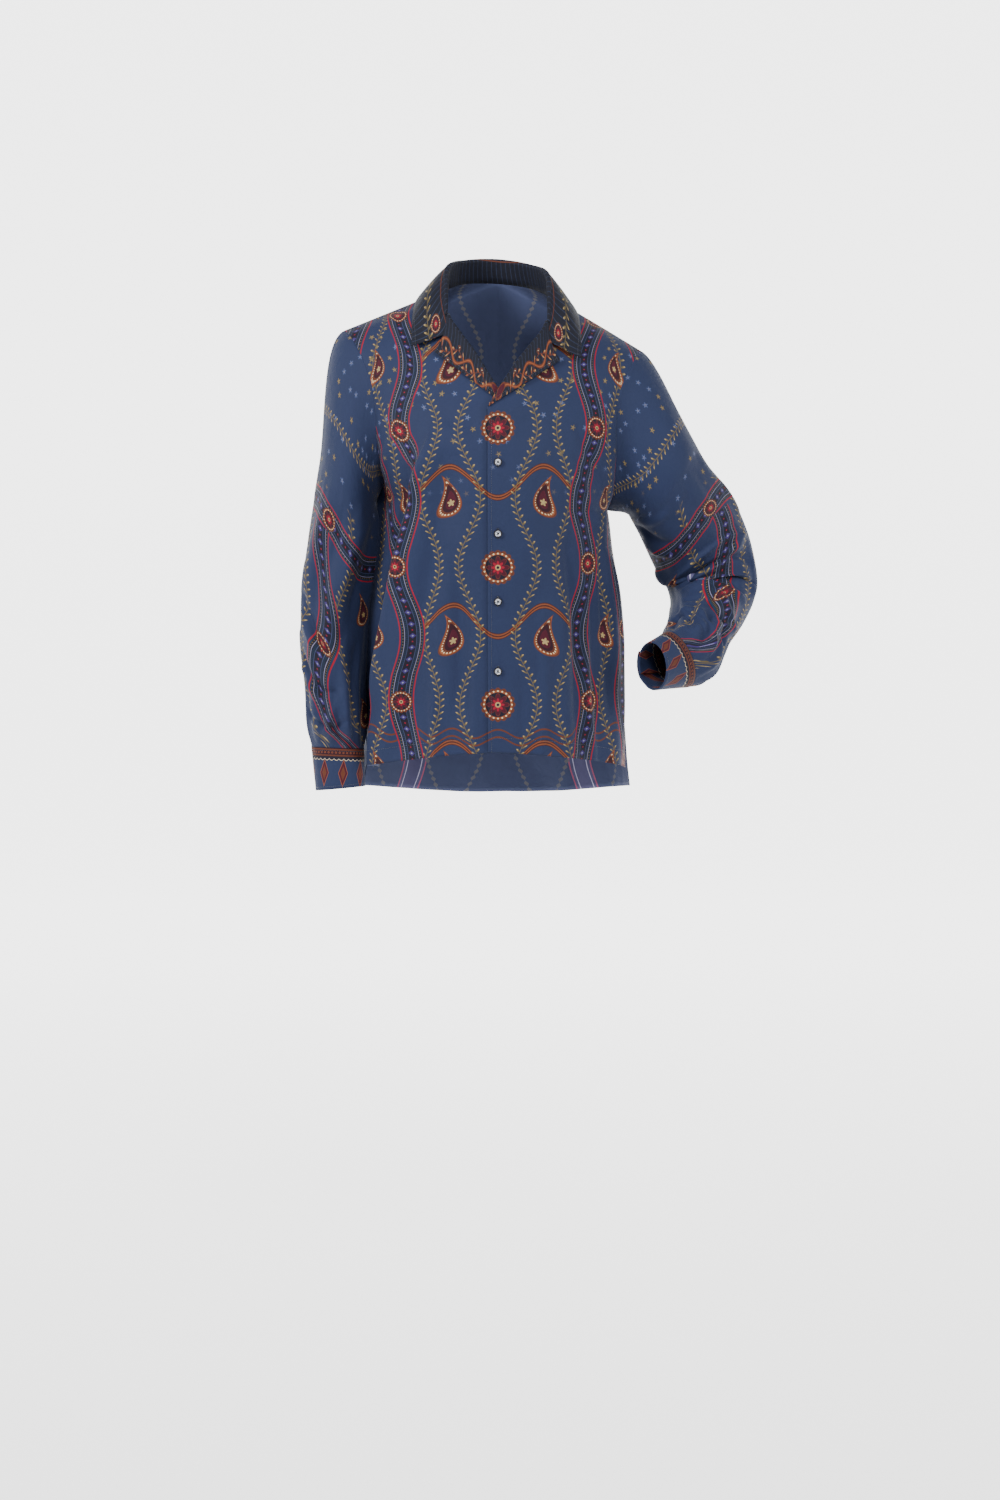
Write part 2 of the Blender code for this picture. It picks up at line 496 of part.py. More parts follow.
class Sheet:
    """A middle surface: points, the cells between them and the normals that are set by hand."""

    def __init__(self, name, colour, thickness=CLOTH):
        self.name, self.colour, self.thickness = name, colour, thickness
        self.points, self.cells, self.known, self.set_normals = [], [], {}, {}

    def index(self, point):
        key = place(point)
        if key not in self.known:
            self.known[key] = len(self.points)
            self.points.append(np.asarray(point, float))
        return self.known[key]

    def add(self, grid, flip=False, closed=False):
        """Adds a grid of points; those that meet earlier ones are joined to them."""
        ids = [[self.index(p) for p in row] for row in grid]
        if closed:
            ids = [row + row[:1] for row in ids]
        for upper, lower in zip(ids[1:], ids[:-1]):
            for k in range(len(lower) - 1):
                cell = [lower[k], lower[k + 1], upper[k + 1], upper[k]]
                cell = [v for i, v in enumerate(cell) if v != cell[i - 1]]
                if flip:
                    cell.reverse()
                if len(cell) == 4:
                    a, b, c, d = (self.points[v] for v in cell)
                    if np.linalg.norm(c - a) > np.linalg.norm(d - b):
                        cell = cell[1:] + cell[:1]
                    self.cells.append([cell[0], cell[2], cell[3]])
                if len(cell) > 2:
                    self.cells.append(cell[:3])

    def face_edge(self, ring, axis, closed):
        """Turns the wall square to a flat ring at its end, so that it meets the next piece face to face."""
        along = np.roll(ring, -1, axis=0) - np.roll(ring, 1, axis=0) if closed else np.gradient(ring, axis=0)
        for point, run in zip(ring, along):
            out = unit(np.cross(run, axis))
            self.set_normals[place(point)] = out * np.sign(out @ (point - ring.mean(0)))

    def cell_normal(self, cell):
        a, b, c = (self.points[v] for v in cell)
        return np.cross(b - a, c - a)


def shared_normals(sheets):
    """Which way and how far each point's wall reaches for each unit of half thickness.

    All the pieces that meet at a point share it. It is the step that lies one unit off every cell round
    the point, as near as that can be done, so a wall keeps its thickness round a sharp seam."""
    pull, target = {}, {}
    for sheet in sheets:
        for cell in sheet.cells:
            normal = sheet.cell_normal(cell)
            weight = np.sqrt(np.linalg.norm(normal))
            normal = unit(normal)
            for v in cell:
                key = place(sheet.points[v])
                pull[key] = pull.get(key, 0) + weight * np.outer(normal, normal)
                target[key] = target.get(key, 0) + weight * normal
    result = {}
    for key, matrix in pull.items():
        step = np.linalg.solve(matrix + MITRE_SOFTNESS * np.trace(matrix) * np.eye(3), target[key])
        length = np.linalg.norm(step)
        result[key] = step / length * np.clip(length, 1.0, MITRE_LIMIT)
    for sheet in sheets:
        result.update(sheet.set_normals)
    return result


def thicken(sheet, normals):
    """Closed wall on a sheet. Its edges stand back by half the seam gap, and more where a seam is sharp."""
    points = np.array(sheet.points)
    out = np.array([normals[place(p)] for p in points])
    edges = {}
    for cell in sheet.cells:
        for a, b in zip(cell, cell[1:] + cell[:1]):
            edges[(a, b)] = cell
    rim = [(a, b) for (a, b) in edges if (b, a) not in edges]
    back = {}
    for a, b in rim:
        inward = unit(np.cross(unit(sheet.cell_normal(edges[(a, b)])), unit(points[b] - points[a])))
        back.setdefault(a, []).append(inward)
        back.setdefault(b, []).append(inward)
    moved = points.copy()
    for v, ways in back.items():
        first, last = ways[0], ways[-1]
        sharp = np.linalg.norm(out[v])**2
        moved[v] += (first + last) * sharp * SEAM_GAP / 2 / max(1 + first @ last, 0.5)
    half = sheet.thickness / 2
    count = len(points)
    vertices = np.vstack([moved + out * half, moved - out * half])
    faces = [tuple(cell) for cell in sheet.cells]
    faces += [tuple(v + count for v in reversed(cell)) for cell in sheet.cells]
    faces += [(b, a, a + count, b + count) for a, b in rim]
    return vertices, faces


def material(name, colour, roughness, metallic=0.0):
    made = bpy.data.materials.get(name) or bpy.data.materials.new(name)
    made.use_nodes = True
    shader = made.node_tree.nodes["Principled BSDF"]
    shader.inputs["Base Color"].default_value = (*colour, 1.0)
    shader.inputs["Roughness"].default_value = roughness
    shader.inputs["Metallic"].default_value = metallic
    made.diffuse_color = (*colour, 1.0)
    return made


def add_object(name, vertices, faces, made):
    mesh = bpy.data.meshes.new(name)
    mesh.from_pydata([tuple(v) for v in vertices], [], faces)
    mesh.materials.append(made)
    mesh.polygons.foreach_set("use_smooth", [True] * len(mesh.polygons))
    thing = bpy.data.objects.new(name, mesh)
    bpy.context.collection.objects.link(thing)
    return thing


def lathe(section, middle, sides):
    """A closed turned body on the Z axis through middle, from its section's radii and heights."""
    vertices, faces, rows = [], [], []
    for radius, height in section:
        turns = [2 * math.pi * (k + 0.5) / sides for k in range(sides)] if radius > 0 else [0.0]
        rows.append([len(vertices) + k for k in range(len(turns))])
        vertices += [(middle[0] + radius * math.cos(t), middle[1] + radius * math.sin(t), height) for t in turns]
    for low, high in zip(rows, rows[1:]):
        for k in range(sides):
            a, b = low[k % len(low)], low[(k + 1) % len(low)]
            c, d = high[(k + 1) % len(high)], high[k % len(high)]
            face = (a, b, c, d)
            faces.append(tuple(v for j, v in enumerate(face) if v != face[j - 1]))
    return vertices, faces


def button_mesh(made):
    """A turned button with four holes, its back on the XY plane."""
    section = [(r * BUTTON_RADIUS, h * BUTTON_THICK) for r, h in BUTTON_SECTION]
    disc = add_object("button_blank", *lathe(section, (0, 0), BUTTON_SIDES), made)
    below, above = -BUTTON_THICK / 2, BUTTON_THICK * 1.5
    pin = ((0, below), (BUTTON_HOLE_RADIUS, below), (BUTTON_HOLE_RADIUS, above), (0, above))
    pins = []
    for k in range(4):
        turn = math.radians(45 + 90 * k)
        middle = (BUTTON_HOLE_PITCH * math.cos(turn), BUTTON_HOLE_PITCH * math.sin(turn))
        pins.append(add_object("pin", *lathe(pin, middle, BUTTON_HOLE_SIDES), made))
        hole = disc.modifiers.new("hole", "BOOLEAN")
        hole.object, hole.operation, hole.solver = pins[-1], "DIFFERENCE", "EXACT"
    bpy.context.view_layer.update()
    mesh = bpy.data.meshes.new_from_object(disc.evaluated_get(bpy.context.evaluated_depsgraph_get()))
    for thing in (disc, *pins):
        bpy.data.objects.remove(thing)
    return mesh


def add_button(name, mesh, point, out):
    """Places a button on the cloth at point, its back off the cloth by the button gap."""
    button = bpy.data.objects.new(name, mesh)
    out = Vector(unit(out))
    button.rotation_euler = out.to_track_quat("Z", "Y").to_euler()
    button.location = Vector(point) + out * BUTTON_GAP
    bpy.context.collection.objects.link(button)


def turned_outward(grid, like):
    """Whether a grid's cells have to be flipped to face the way of the given point's direction."""
    a, b, c = grid[0, 0], grid[0, 1], grid[1, 0]
    return np.cross(b - a, c - a) @ like < 0


def build_cloth():
    front_at = stations(column(FRONT, "rows")[:, 0].astype(int))
    back_at = stations(column(BACK, "rows")[:, 0].astype(int))
    across = np.linspace(0, 1, ACROSS_PANEL + 1)
    lapel_at = front_at[(front_at >= BREAK) & (front_at <= ROLL_TOP)]
    names = {1: "left", -1: "right"}
    fronts, backs, lapels, sheets = {}, {}, {}, {}
    for side in (1, -1):
        fronts[side] = front_surface(side, front_at, across)
        backs[side] = back_surface(side, back_at, across)
        lapels[side] = lapel_surface(side, lapel_at)
        sheet = Sheet("front_" + names[side], NAVY)
        sheet.add(fronts[side], flip=turned_outward(fronts[side], np.array([0, -1.0, 0])))
        lapel = lapels[side][:, ::-1]
        sheet.add(lapel, flip=turned_outward(fronts[side], np.array([0, -1.0, 0])))
        into = unit(fronts[side][front_at == BREAK][0, 1] - lapels[side][0, 0])
        roll = unit(lapels[side][1, 0] - lapels[side][0, 0])
        key = place(lapels[side][0, 0])
        sheet.set_normals[key] = unit(into - roll * (into @ roll))
        sheets[sheet.name] = sheet
    back = Sheet("back", NAVY)
    for side in (1, -1):
        back.add(backs[side], flip=turned_outward(backs[side], np.array([0, 1.0, 0])))
    sheets["back"] = back

    neck_front = front_at >= ROLL_TOP
    neck_back = back_at >= NECK_BACK
    halves = {}
    for side in (1, -1):
        halves[side] = np.vstack([fronts[side][neck_front, 0], backs[side][neck_back, 0][-2::-1]])
    seam = np.vstack([halves[-1], halves[1][-2::-1]])
    collar_at = stations(COLLAR_ROWS)
    collar_at = np.append(collar_at, 2 * collar_at[-1] - collar_at[-2::-1])
    fine = np.linspace(0, 1, 25)
    cloth, normals = [], []
    for side in (1, -1):
        for surface, end, way in ((front_surface, FRONT_END, -1.0), (back_surface, BACK_END, 1.0)):
            grid = surface(side, np.linspace(ARMPIT + 1, end, 36), fine)
            cloth.append(grid.reshape(-1, 3))
            like = np.array([0.0, way, 0.4])
            normals.append(grid_normals(grid, like).reshape(-1, 3))
    grid = collar_surface(collar_at, seam, np.vstack(cloth), np.vstack(normals), lapels[-1][-1], lapels[1][-1])
    collar = Sheet("collar", DARK_NAVY)
    collar.add(grid, flip=turned_outward(grid, np.array([-0.2, -1.0, 0])))
    sheets["collar"] = collar

    tables = {1: (SLEEVE_LEFT, SLEEVE_LEFT_FOLDS), -1: (SLEEVE_RIGHT, SLEEVE_RIGHT_FOLDS)}
    cuffs = {}
    for side in (1, -1):
        front, rear = fronts[side][front_at >= ARMPIT], backs[side][back_at >= ARMPIT]
        loop = np.vstack([front[:, -1], rear[-2:0:-1, -1]])
        leave = np.vstack([unit(front[:, -1] - front[:, -2]), unit(rear[-2:0:-1, -1] - rear[-2:0:-1, -2])])
        rings, folds = tables[side]
        grid = sleeve_surface(side, rings, folds, loop, leave)
        cuff_axis = sleeve_ring(side, rings, ring_places(rings))[-1][-2]
        sleeve = Sheet("sleeve_" + names[side], NAVY)
        sleeve.add(grid, flip=side > 0, closed=True)
        sleeve.face_edge(grid[-1], cuff_axis, closed=True)
        sheets[sleeve.name] = sleeve
        cuffs[side] = cuff_surface(side, rings)
        cuff = Sheet("cuff_" + names[side], DARK_NAVY, CUFF_CLOTH)
        cuff.add(cuffs[side], flip=side > 0)
        cuff.face_edge(cuffs[side][0], cuff_axis, closed=False)
        sheets[cuff.name] = cuff
    return sheets, fronts[1], cuffs


def build():
    for thing in list(bpy.data.objects):
        bpy.data.objects.remove(thing)
    sheets, front, cuffs = build_cloth()
    normals = shared_normals(sheets.values())
    for sheet in sheets.values():
        cloth = material("cloth_" + sheet.name, sheet.colour, 0.75)
        add_object(sheet.name, *thicken(sheet, normals), cloth)
    button = button_mesh(material("button", BUTTON_GREY, 0.25))
    fine = front_surface(1, np.linspace(0, BREAK, 120), np.linspace(0, 0.25, 12))
    faces = grid_normals(fine, np.array([0.0, -1.0, 0.0]))
    for number, height in enumerate(BUTTON_HEIGHTS, 1):
        row, place = divmod(np.argmin(fine[..., 0]**2 + (fine[..., 2] - height)**2), fine.shape[1])
        out = unit(faces[row, place] * [0.3, 1, 1])
        point = lay_on(np.array([0.0, 0.0, height]), fine, CLOTH / 2)
        add_button("button_%d" % number, button, point, out)
    for side, name in ((1, "left"), (-1, "right")):
        grid = cuffs[side]
        lap_middle = CUFF_CELLS - round(CUFF_CELLS * CUFF_BUTTON_INSET)
        point = grid[1:3, lap_middle].mean(0)
        centre = grid[1:3].mean((0, 1))
        along = grid[3, lap_middle] - grid[0, lap_middle]
        out = np.cross(grid[1, lap_middle + 1] - grid[1, lap_middle - 1], along)
        out = unit(out) * np.sign(out @ (point - centre))
        add_button("cuff_button_" + name, button, point + out * CUFF_CLOTH / 2, out)


build()
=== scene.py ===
"""The looks of a worn printed blouse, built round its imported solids.

Metres, +Z up. The wearer faces -Y and the wearer's left is +X. The cloth lies on the same surfaces as the
solids, from the same tables, with finer folds added.
"""

import math
from collections import namedtuple
from functools import partialmethod

import bpy
import numpy as np
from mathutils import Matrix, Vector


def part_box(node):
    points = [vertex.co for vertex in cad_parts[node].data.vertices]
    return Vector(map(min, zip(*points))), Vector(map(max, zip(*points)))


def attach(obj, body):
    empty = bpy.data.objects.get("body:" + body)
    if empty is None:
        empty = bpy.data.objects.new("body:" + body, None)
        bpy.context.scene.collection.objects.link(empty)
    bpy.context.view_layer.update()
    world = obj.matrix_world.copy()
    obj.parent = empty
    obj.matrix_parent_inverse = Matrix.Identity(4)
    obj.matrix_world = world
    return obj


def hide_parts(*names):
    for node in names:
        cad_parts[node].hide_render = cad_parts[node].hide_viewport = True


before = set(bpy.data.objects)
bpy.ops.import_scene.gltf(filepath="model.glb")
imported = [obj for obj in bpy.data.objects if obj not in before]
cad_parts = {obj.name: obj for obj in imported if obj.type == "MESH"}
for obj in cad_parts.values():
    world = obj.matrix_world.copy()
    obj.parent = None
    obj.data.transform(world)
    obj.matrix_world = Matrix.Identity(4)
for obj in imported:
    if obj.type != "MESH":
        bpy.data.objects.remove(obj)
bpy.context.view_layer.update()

# Driving sizes
FRONT_LAP = 0.0135
SHOULDER_TILT = 0.07
TILT_FROM, TILT_FULL = -0.47, -0.27
SHOULDER_SHIFT = 0.0065
SHOULDER_X = 0.2
SHIFT_FROM, SHIFT_FULL = -0.30, -0.12
UNDER_LAP_SINK = 0.0018
LAP_LIFT_LOW, LAP_LIFT_HIGH = 0.0027, 0.0030
LAP_LIFT_FROM, LAP_LIFT_TO = -0.168, -0.142
LAP_FADE_FROM, LAP_FADE_TO = 0.024, 0.080
ROLL_RADIUS_LOW, ROLL_RADIUS_HIGH = 0.0011, 0.0030
ROLL_BASE = 0.004
LAPEL_LIFT_LOW, LAPEL_LIFT_HIGH = 0.0024, 0.0065
LAPEL_CORNER = (0.0835, -0.0815)
LAPEL_NOTCH = (0.0715, -0.0590)
LAPEL_ROLL_GROWTH = 6.0
FOLD_RADIUS = 0.0034
COLLAR_CLEAR = 0.0032
LAY_REACH, CLEAR_REACH = 0.006, 0.008
TRUNK_HALF_WIDTH, TRUNK_HALF_DEPTH = 0.170, 0.135
BUTTON_RADIUS = 0.0055
BUTTON_THICK = 0.0024
CUFF_LAP = 0.026
CUFF_LAP_LIFT = 0.0026
CUFF_LAP_SLOPE = 0.6
CUFF_START = 250.0

# How full a round section is near its inner and its outer edge
INNER_FULLNESS, OUTER_FULLNESS = 0.217, 0.22
# How far into the front the way across it is read
EDGE_STEP = 0.02

# How much the hems bend to be level at the middle, and where that fades out up the body
FRONT_HEM_DIP, BACK_HEM_DIP = 0.030, -0.026
HEM_BEND = (-0.61, -0.45)

# How many cells each piece has, and into how many a row of a table is split
FINE, SLEEVE_FINE = 8, 14
ACROSS_FRONT, ACROSS_BACK = 120, 100
STRAIGHT_CELLS, ROLL_CELLS, TURNED_CELLS = 3, 10, 24
CAP_CELLS = 36
CUFF_CELLS, CUFF_ROWS = 180, 18
# The rows and columns of the body's surface that the lapels and the collar are laid on
LAY_ROWS, LAY_COLUMNS, BODY_ROWS, BODY_COLUMNS = 40, 30, 36, 25

# One row for each section of a front, from the hem up: the inner edge is at the centre front, and above
# the break it is the roll line and then the neck. The outer edge is the side seam and then the armhole.
Section = namedtuple("Section", "name in_x in_y in_z out_x out_y out_z roundness rows")
FRONT = (
    Section("hem",         -0.0135, -0.128, -0.603, 0.1735, -0.004, -0.640, 1.00, 2),
    Section("vent top",    -0.0135, -0.131, -0.545, 0.1715, 0.000, -0.570, 1.00, 2),
    Section("hip",         -0.0135, -0.138, -0.470, 0.1700, 0.002, -0.480, 1.00, 2),
    Section("waist",       -0.0135, -0.144, -0.390, 0.1640, 0.003, -0.395, 1.00, 2),
    Section("under bust",  -0.0135, -0.148, -0.320, 0.1540, 0.002, -0.325, 1.00, 1),
    Section("armpit",      -0.0135, -0.148, -0.275, 0.1490, 0.000, -0.280, 1.00, 2),
    Section("chest",       -0.0135, -0.145, -0.235, 0.1550, -0.035, -0.252, 0.90, 1),
    Section("upper chest", -0.0135, -0.137, -0.190, 0.1590, -0.053, -0.205, 0.80, 1),
    Section("break",       -0.0135, -0.124, -0.147, 0.1610, -0.058, -0.158, 0.70, 3),
    Section("roll middle", 0.0280, -0.091, -0.088, 0.1670, -0.052, -0.120, 0.45, 3),
    Section("roll top",    0.0680, -0.052, -0.037, 0.1800, -0.035, -0.088, 0.25, 2),
    Section("neck side",   0.0725, -0.021, -0.014, 0.1910, -0.014, -0.070, 0.15, 3),
    Section("shoulder",    0.0700, 0.010, 0.000, 0.2000, 0.010, -0.064, 0.00, 0),
)
VENT_TOP, ARMPIT, BREAK, ROLL_TOP, FRONT_END = 1, 5, 8, 10, 12

# The same for half of the back, whose inner edge is the centre back and then the back of the neck
BACK = (
    Section("hem",         0.0, 0.135, -0.694, 0.1800, 0.016, -0.668, 1.00, 2),
    Section("vent top",    0.0, 0.128, -0.600, 0.1715, 0.000, -0.570, 1.00, 2),
    Section("hip",         0.0, 0.120, -0.495, 0.1700, 0.002, -0.480, 1.00, 2),
    Section("waist",       0.0, 0.108, -0.405, 0.1640, 0.003, -0.395, 1.00, 2),
    Section("under bust",  0.0, 0.113, -0.330, 0.1540, 0.002, -0.325, 1.00, 1),
    Section("armpit",      0.0, 0.119, -0.283, 0.1490, 0.000, -0.280, 1.00, 2),
    Section("chest",       0.0, 0.123, -0.225, 0.1550, 0.038, -0.252, 0.90, 2),
    Section("upper back",  0.0, 0.119, -0.160, 0.1600, 0.060, -0.196, 0.80, 1),
    Section("blades",      0.0, 0.108, -0.095, 0.1660, 0.064, -0.150, 0.70, 2),
    Section("high back",   0.0, 0.092, -0.035, 0.1770, 0.055, -0.108, 0.50, 2),
    Section("neck back",   0.0, 0.077, 0.012, 0.1850, 0.043, -0.086, 0.35, 3),
    Section("neck side",   0.044, 0.057, 0.009, 0.1930, 0.027, -0.073, 0.15, 3),
    Section("shoulder",    0.070, 0.010, 0.000, 0.2000, 0.010, -0.064, 0.00, 0),
)
NECK_BACK, BACK_END = 10, 12

# One row for each station of the collar, from the lapel round to the centre back: where the stand meets
# the fold, which way is outward there, and the middle and edge of the fall
Station = namedtuple("Station", "name fold_x fold_y fold_z out_x out_y mid_x mid_y mid_z "
                                "edge_x edge_y edge_z rows")
COLLAR = (
    Station("lapel", 0.067, -0.055, -0.034, 0.2, -1.0, 0.0715, -0.072, -0.059, 0.112, -0.078, -0.0765, 2),
    Station("neck side", 0.066, -0.024, 0.002, 0.9, -0.55, 0.093, -0.044, -0.021, 0.112, -0.047, -0.046, 3),
    Station("shoulder", 0.0625, 0.01, 0.029, 1.0, 0.08, 0.088, 0.011, 0.0095, 0.105, 0.012, -0.013, 3),
    Station("back side", 0.04, 0.049, 0.037, 0.66, 0.75, 0.06, 0.069, 0.02, 0.072, 0.082, -0.008, 3),
    Station("centre back", 0.0, 0.07, 0.041, 0.0, 1.0, 0.0, 0.089, 0.024, 0.0, 0.098, -0.003, 0),
)

# One row for each ring of a sleeve, from the bicep to the end of the cuff: the two ends of its long axis,
# the depth of its centre and half its size across that axis
Ring = namedtuple("Ring", "name outer_x outer_z inner_x inner_z centre_y half_depth rows")
SLEEVE_RIGHT = (
    Ring("bicep",       -0.240, -0.225, -0.163, -0.284, 0.000, 0.068, 1),
    Ring("upper arm",   -0.249, -0.283, -0.166, -0.315, -0.003, 0.067, 1),
    Ring("over elbow",  -0.259, -0.340, -0.171, -0.354, -0.006, 0.063, 1),
    Ring("elbow",       -0.266, -0.395, -0.177, -0.396, -0.009, 0.060, 1),
    Ring("under elbow", -0.267, -0.445, -0.181, -0.443, -0.013, 0.057, 1),
    Ring("forearm",     -0.266, -0.485, -0.183, -0.484, -0.017, 0.054, 1),
    Ring("low forearm", -0.260, -0.532, -0.184, -0.531, -0.022, 0.050, 2),
    Ring("above cuff",  -0.256, -0.585, -0.183, -0.586, -0.027, 0.044, 2),
    Ring("cuff top",    -0.252, -0.608, -0.182, -0.611, -0.030, 0.030, 0),
    Ring("cuff end",    -0.246, -0.667, -0.180, -0.661, -0.036, 0.028, 0),
)
SLEEVE_LEFT = (
    Ring("bicep",       0.259, -0.190, 0.179, -0.300, 0.010, 0.066, 1),
    Ring("upper arm",   0.281, -0.228, 0.193, -0.325, 0.020, 0.060, 1),
    Ring("mid arm",     0.305, -0.258, 0.205, -0.350, 0.034, 0.056, 1),
    Ring("over elbow",  0.328, -0.297, 0.215, -0.373, 0.047, 0.052, 1),
    Ring("elbow",       0.346, -0.344, 0.224, -0.391, 0.054, 0.051, 1),
    Ring("elbow point", 0.353, -0.403, 0.233, -0.401, 0.050, 0.051, 1),
    Ring("under elbow", 0.338, -0.437, 0.236, -0.412, 0.026, 0.049, 1),
    Ring("forearm",     0.318, -0.463, 0.235, -0.423, -0.008, 0.046, 1),
    Ring("low forearm", 0.298, -0.489, 0.231, -0.435, -0.044, 0.043, 2),
    Ring("above cuff",  0.282, -0.511, 0.228, -0.443, -0.071, 0.040, 2),
    Ring("cuff top",    0.254, -0.519, 0.223, -0.446, -0.096, 0.026, 0),
    Ring("cuff end",    0.206, -0.519, 0.202, -0.456, -0.132, 0.0245, 0),
)

# The largest folds. On the trunk a fold runs from one angle round from the centre front, in degrees
# towards the wearer's left, and one height, to another, and bends sideways by bow. Its two half widths
# are on the wearer's right and left of it, and rise is outward.
Fold = namedtuple("Fold", "from_turn from_height to_turn to_height bow right_width left_width rise")
TRUNK_FOLDS = (
    Fold(-26.0, -0.170, -75.0, -0.72, -0.006, 0.014, 0.050, 0.026),
    Fold(-41.0, -0.230, -86.0, -0.69, -0.004, 0.018, 0.016, -0.013),
    Fold(-90.0, -0.262, -90.0, -0.62, 0.0, 0.060, 0.050, 0.009),
    Fold(-112.0, -0.258, -107.0, -0.90, 0.0, 0.034, 0.030, 0.018),
    Fold(-18.0, -0.330, -16.0, -0.57, 0.004, 0.020, 0.016, -0.005),
    Fold(25.0, -0.330, 33.0, -0.66, 0.004, 0.016, 0.022, 0.007),
    Fold(46.0, -0.300, 52.0, -0.68, -0.004, 0.020, 0.020, -0.006),
    Fold(66.0, -0.330, 68.0, -0.68, 0.003, 0.016, 0.020, 0.006),
    Fold(118.0, -0.250, 122.0, -0.74, 0.006, 0.024, 0.020, 0.009),
    Fold(150.0, -0.200, 148.0, -0.76, -0.006, 0.026, 0.026, -0.008),
    Fold(172.0, -0.260, 176.0, -0.76, 0.004, 0.020, 0.026, 0.007),
    Fold(-158.0, -0.230, -162.0, -0.76, 0.004, 0.024, 0.022, -0.007),
    Fold(-134.0, -0.220, -136.0, -0.75, -0.006, 0.020, 0.024, 0.007),
)
FOLD_GIRTH_RADIUS = 0.155

# On a sleeve a fold runs from one turn round the sleeve, in degrees from the underarm by way of the
# front, and one share of the length from bicep to cuff, to another
SLEEVE_RIGHT_FOLDS = (
    Fold(60.0, 0.02, 95.0, 0.62, 0.006, 0.014, 0.020, 0.006),
    Fold(100.0, 0.10, 130.0, 0.75, -0.006, 0.012, 0.016, -0.005),
    Fold(150.0, 0.30, 120.0, 0.98, 0.004, 0.014, 0.014, 0.005),
    Fold(240.0, 0.05, 285.0, 0.70, 0.004, 0.018, 0.016, 0.006),
    Fold(300.0, 0.25, 270.0, 0.95, -0.004, 0.014, 0.014, -0.005),
)
SLEEVE_LEFT_FOLDS = (
    Fold(20.0, 0.44, 150.0, 0.34, 0.010, 0.012, 0.016, 0.008),
    Fold(25.0, 0.53, 160.0, 0.50, 0.008, 0.009, 0.009, -0.008),
    Fold(30.0, 0.64, 150.0, 0.60, 0.008, 0.012, 0.014, 0.006),
    Fold(50.0, 0.95, 165.0, 0.72, -0.006, 0.012, 0.012, 0.006),
    Fold(215.0, 0.12, 290.0, 0.42, 0.006, 0.016, 0.018, 0.006),
    Fold(330.0, 0.60, 250.0, 0.90, 0.006, 0.014, 0.016, 0.006),
)
# The share of a sleeve's length by which its folds are full, and where they begin to fade
SLEEVE_FOLDS_FULL, SLEEVE_FOLDS_FADE = 0.12, 0.93
SLEEVE_CREASES_FULL, SLEEVE_CREASES_FADE = 0.08, 0.94

# The finer folds each follow a path of their own, given by turn and height on the trunk, and by turn and
# share of the length on a sleeve
Crease = namedtuple("Crease", "path right_width left_width rise")
TRUNK_CREASES = (
    Crease(((-90, -0.215), (-90, -0.32), (-91, -0.44), (-92, -0.60)), 0.024, 0.020, 0.0066),
    Crease(((-29, -0.190), (-32.5, -0.224), (-41.4, -0.273), (-47.3, -0.349), (-57, -0.432), (-62.2, -0.505),
            (-73.2, -0.558), (-86, -0.621)), 0.0048, 0.015, 0.0125),
    Crease(((-88, -0.190), (-90, -0.29), (-90, -0.40)), 0.020, 0.020, 0.0050),
    Crease(((-21, -0.205), (-25, -0.29), (-31, -0.38), (-39, -0.48), (-46, -0.57), (-58, -0.645)),
           0.013, 0.020, -0.0085),
    Crease(((-52, -0.250), (-58, -0.33), (-67, -0.42), (-76, -0.49)), 0.008, 0.010, -0.0053),
    Crease(((-19, -0.350), (-17, -0.44), (-20, -0.55)), 0.008, 0.012, -0.0039),
    Crease(((-10, -0.450), (-11, -0.54), (-7, -0.66)), 0.007, 0.010, 0.0048),
    Crease(((-30, -0.500), (-31, -0.58), (-27, -0.67)), 0.007, 0.007, 0.0060),
    Crease(((8, -0.470), (10, -0.56), (7, -0.67)), 0.009, 0.008, -0.0048),
    Crease(((19, -0.400), (22, -0.52), (20, -0.66)), 0.008, 0.011, 0.0057),
    Crease(((31, -0.310), (36, -0.43), (40, -0.60)), 0.008, 0.010, -0.0069),
    Crease(((44, -0.360), (46, -0.50), (52, -0.65)), 0.009, 0.007, 0.0060),
    Crease(((58, -0.300), (57, -0.42), (62, -0.56)), 0.007, 0.009, -0.0039),
    Crease(((72, -0.340), (76, -0.47), (74, -0.63)), 0.009, 0.009, 0.0042),
    Crease(((38, -0.165), (50, -0.225), (66, -0.262)), 0.007, 0.008, -0.0036),
    Crease(((30, -0.195), (46, -0.262), (63, -0.300)), 0.008, 0.006, 0.0033),
    Crease(((-46, -0.170), (-56, -0.215), (-68, -0.250)), 0.007, 0.008, 0.0036),
    Crease(((98, -0.310), (96, -0.45), (101, -0.62)), 0.009, 0.010, -0.0048),
    Crease(((112, -0.360), (115, -0.50), (110, -0.68)), 0.008, 0.011, 0.0039),
    Crease(((131, -0.200), (127, -0.34), (134, -0.55)), 0.010, 0.012, -0.0051),
    Crease(((142, -0.380), (139, -0.52), (143, -0.69)), 0.008, 0.010, 0.0045),
    Crease(((158, -0.240), (163, -0.42), (160, -0.66)), 0.011, 0.009, -0.0045),
    Crease(((178, -0.140), (175, -0.30), (181, -0.52)), 0.012, 0.010, 0.0036),
    Crease(((-171, -0.350), (-167, -0.50), (-172, -0.70)), 0.009, 0.011, -0.0048),
    Crease(((-150, -0.170), (-146, -0.31), (-151, -0.47)), 0.010, 0.009, 0.0042),
    Crease(((-141, -0.420), (-145, -0.55), (-140, -0.69)), 0.008, 0.008, -0.0039),
    Crease(((-124, -0.300), (-121, -0.44), (-126, -0.60)), 0.009, 0.011, 0.0045),
    Crease(((-102, -0.330), (-99, -0.46), (-104, -0.62)), 0.008, 0.009, -0.0045),
)
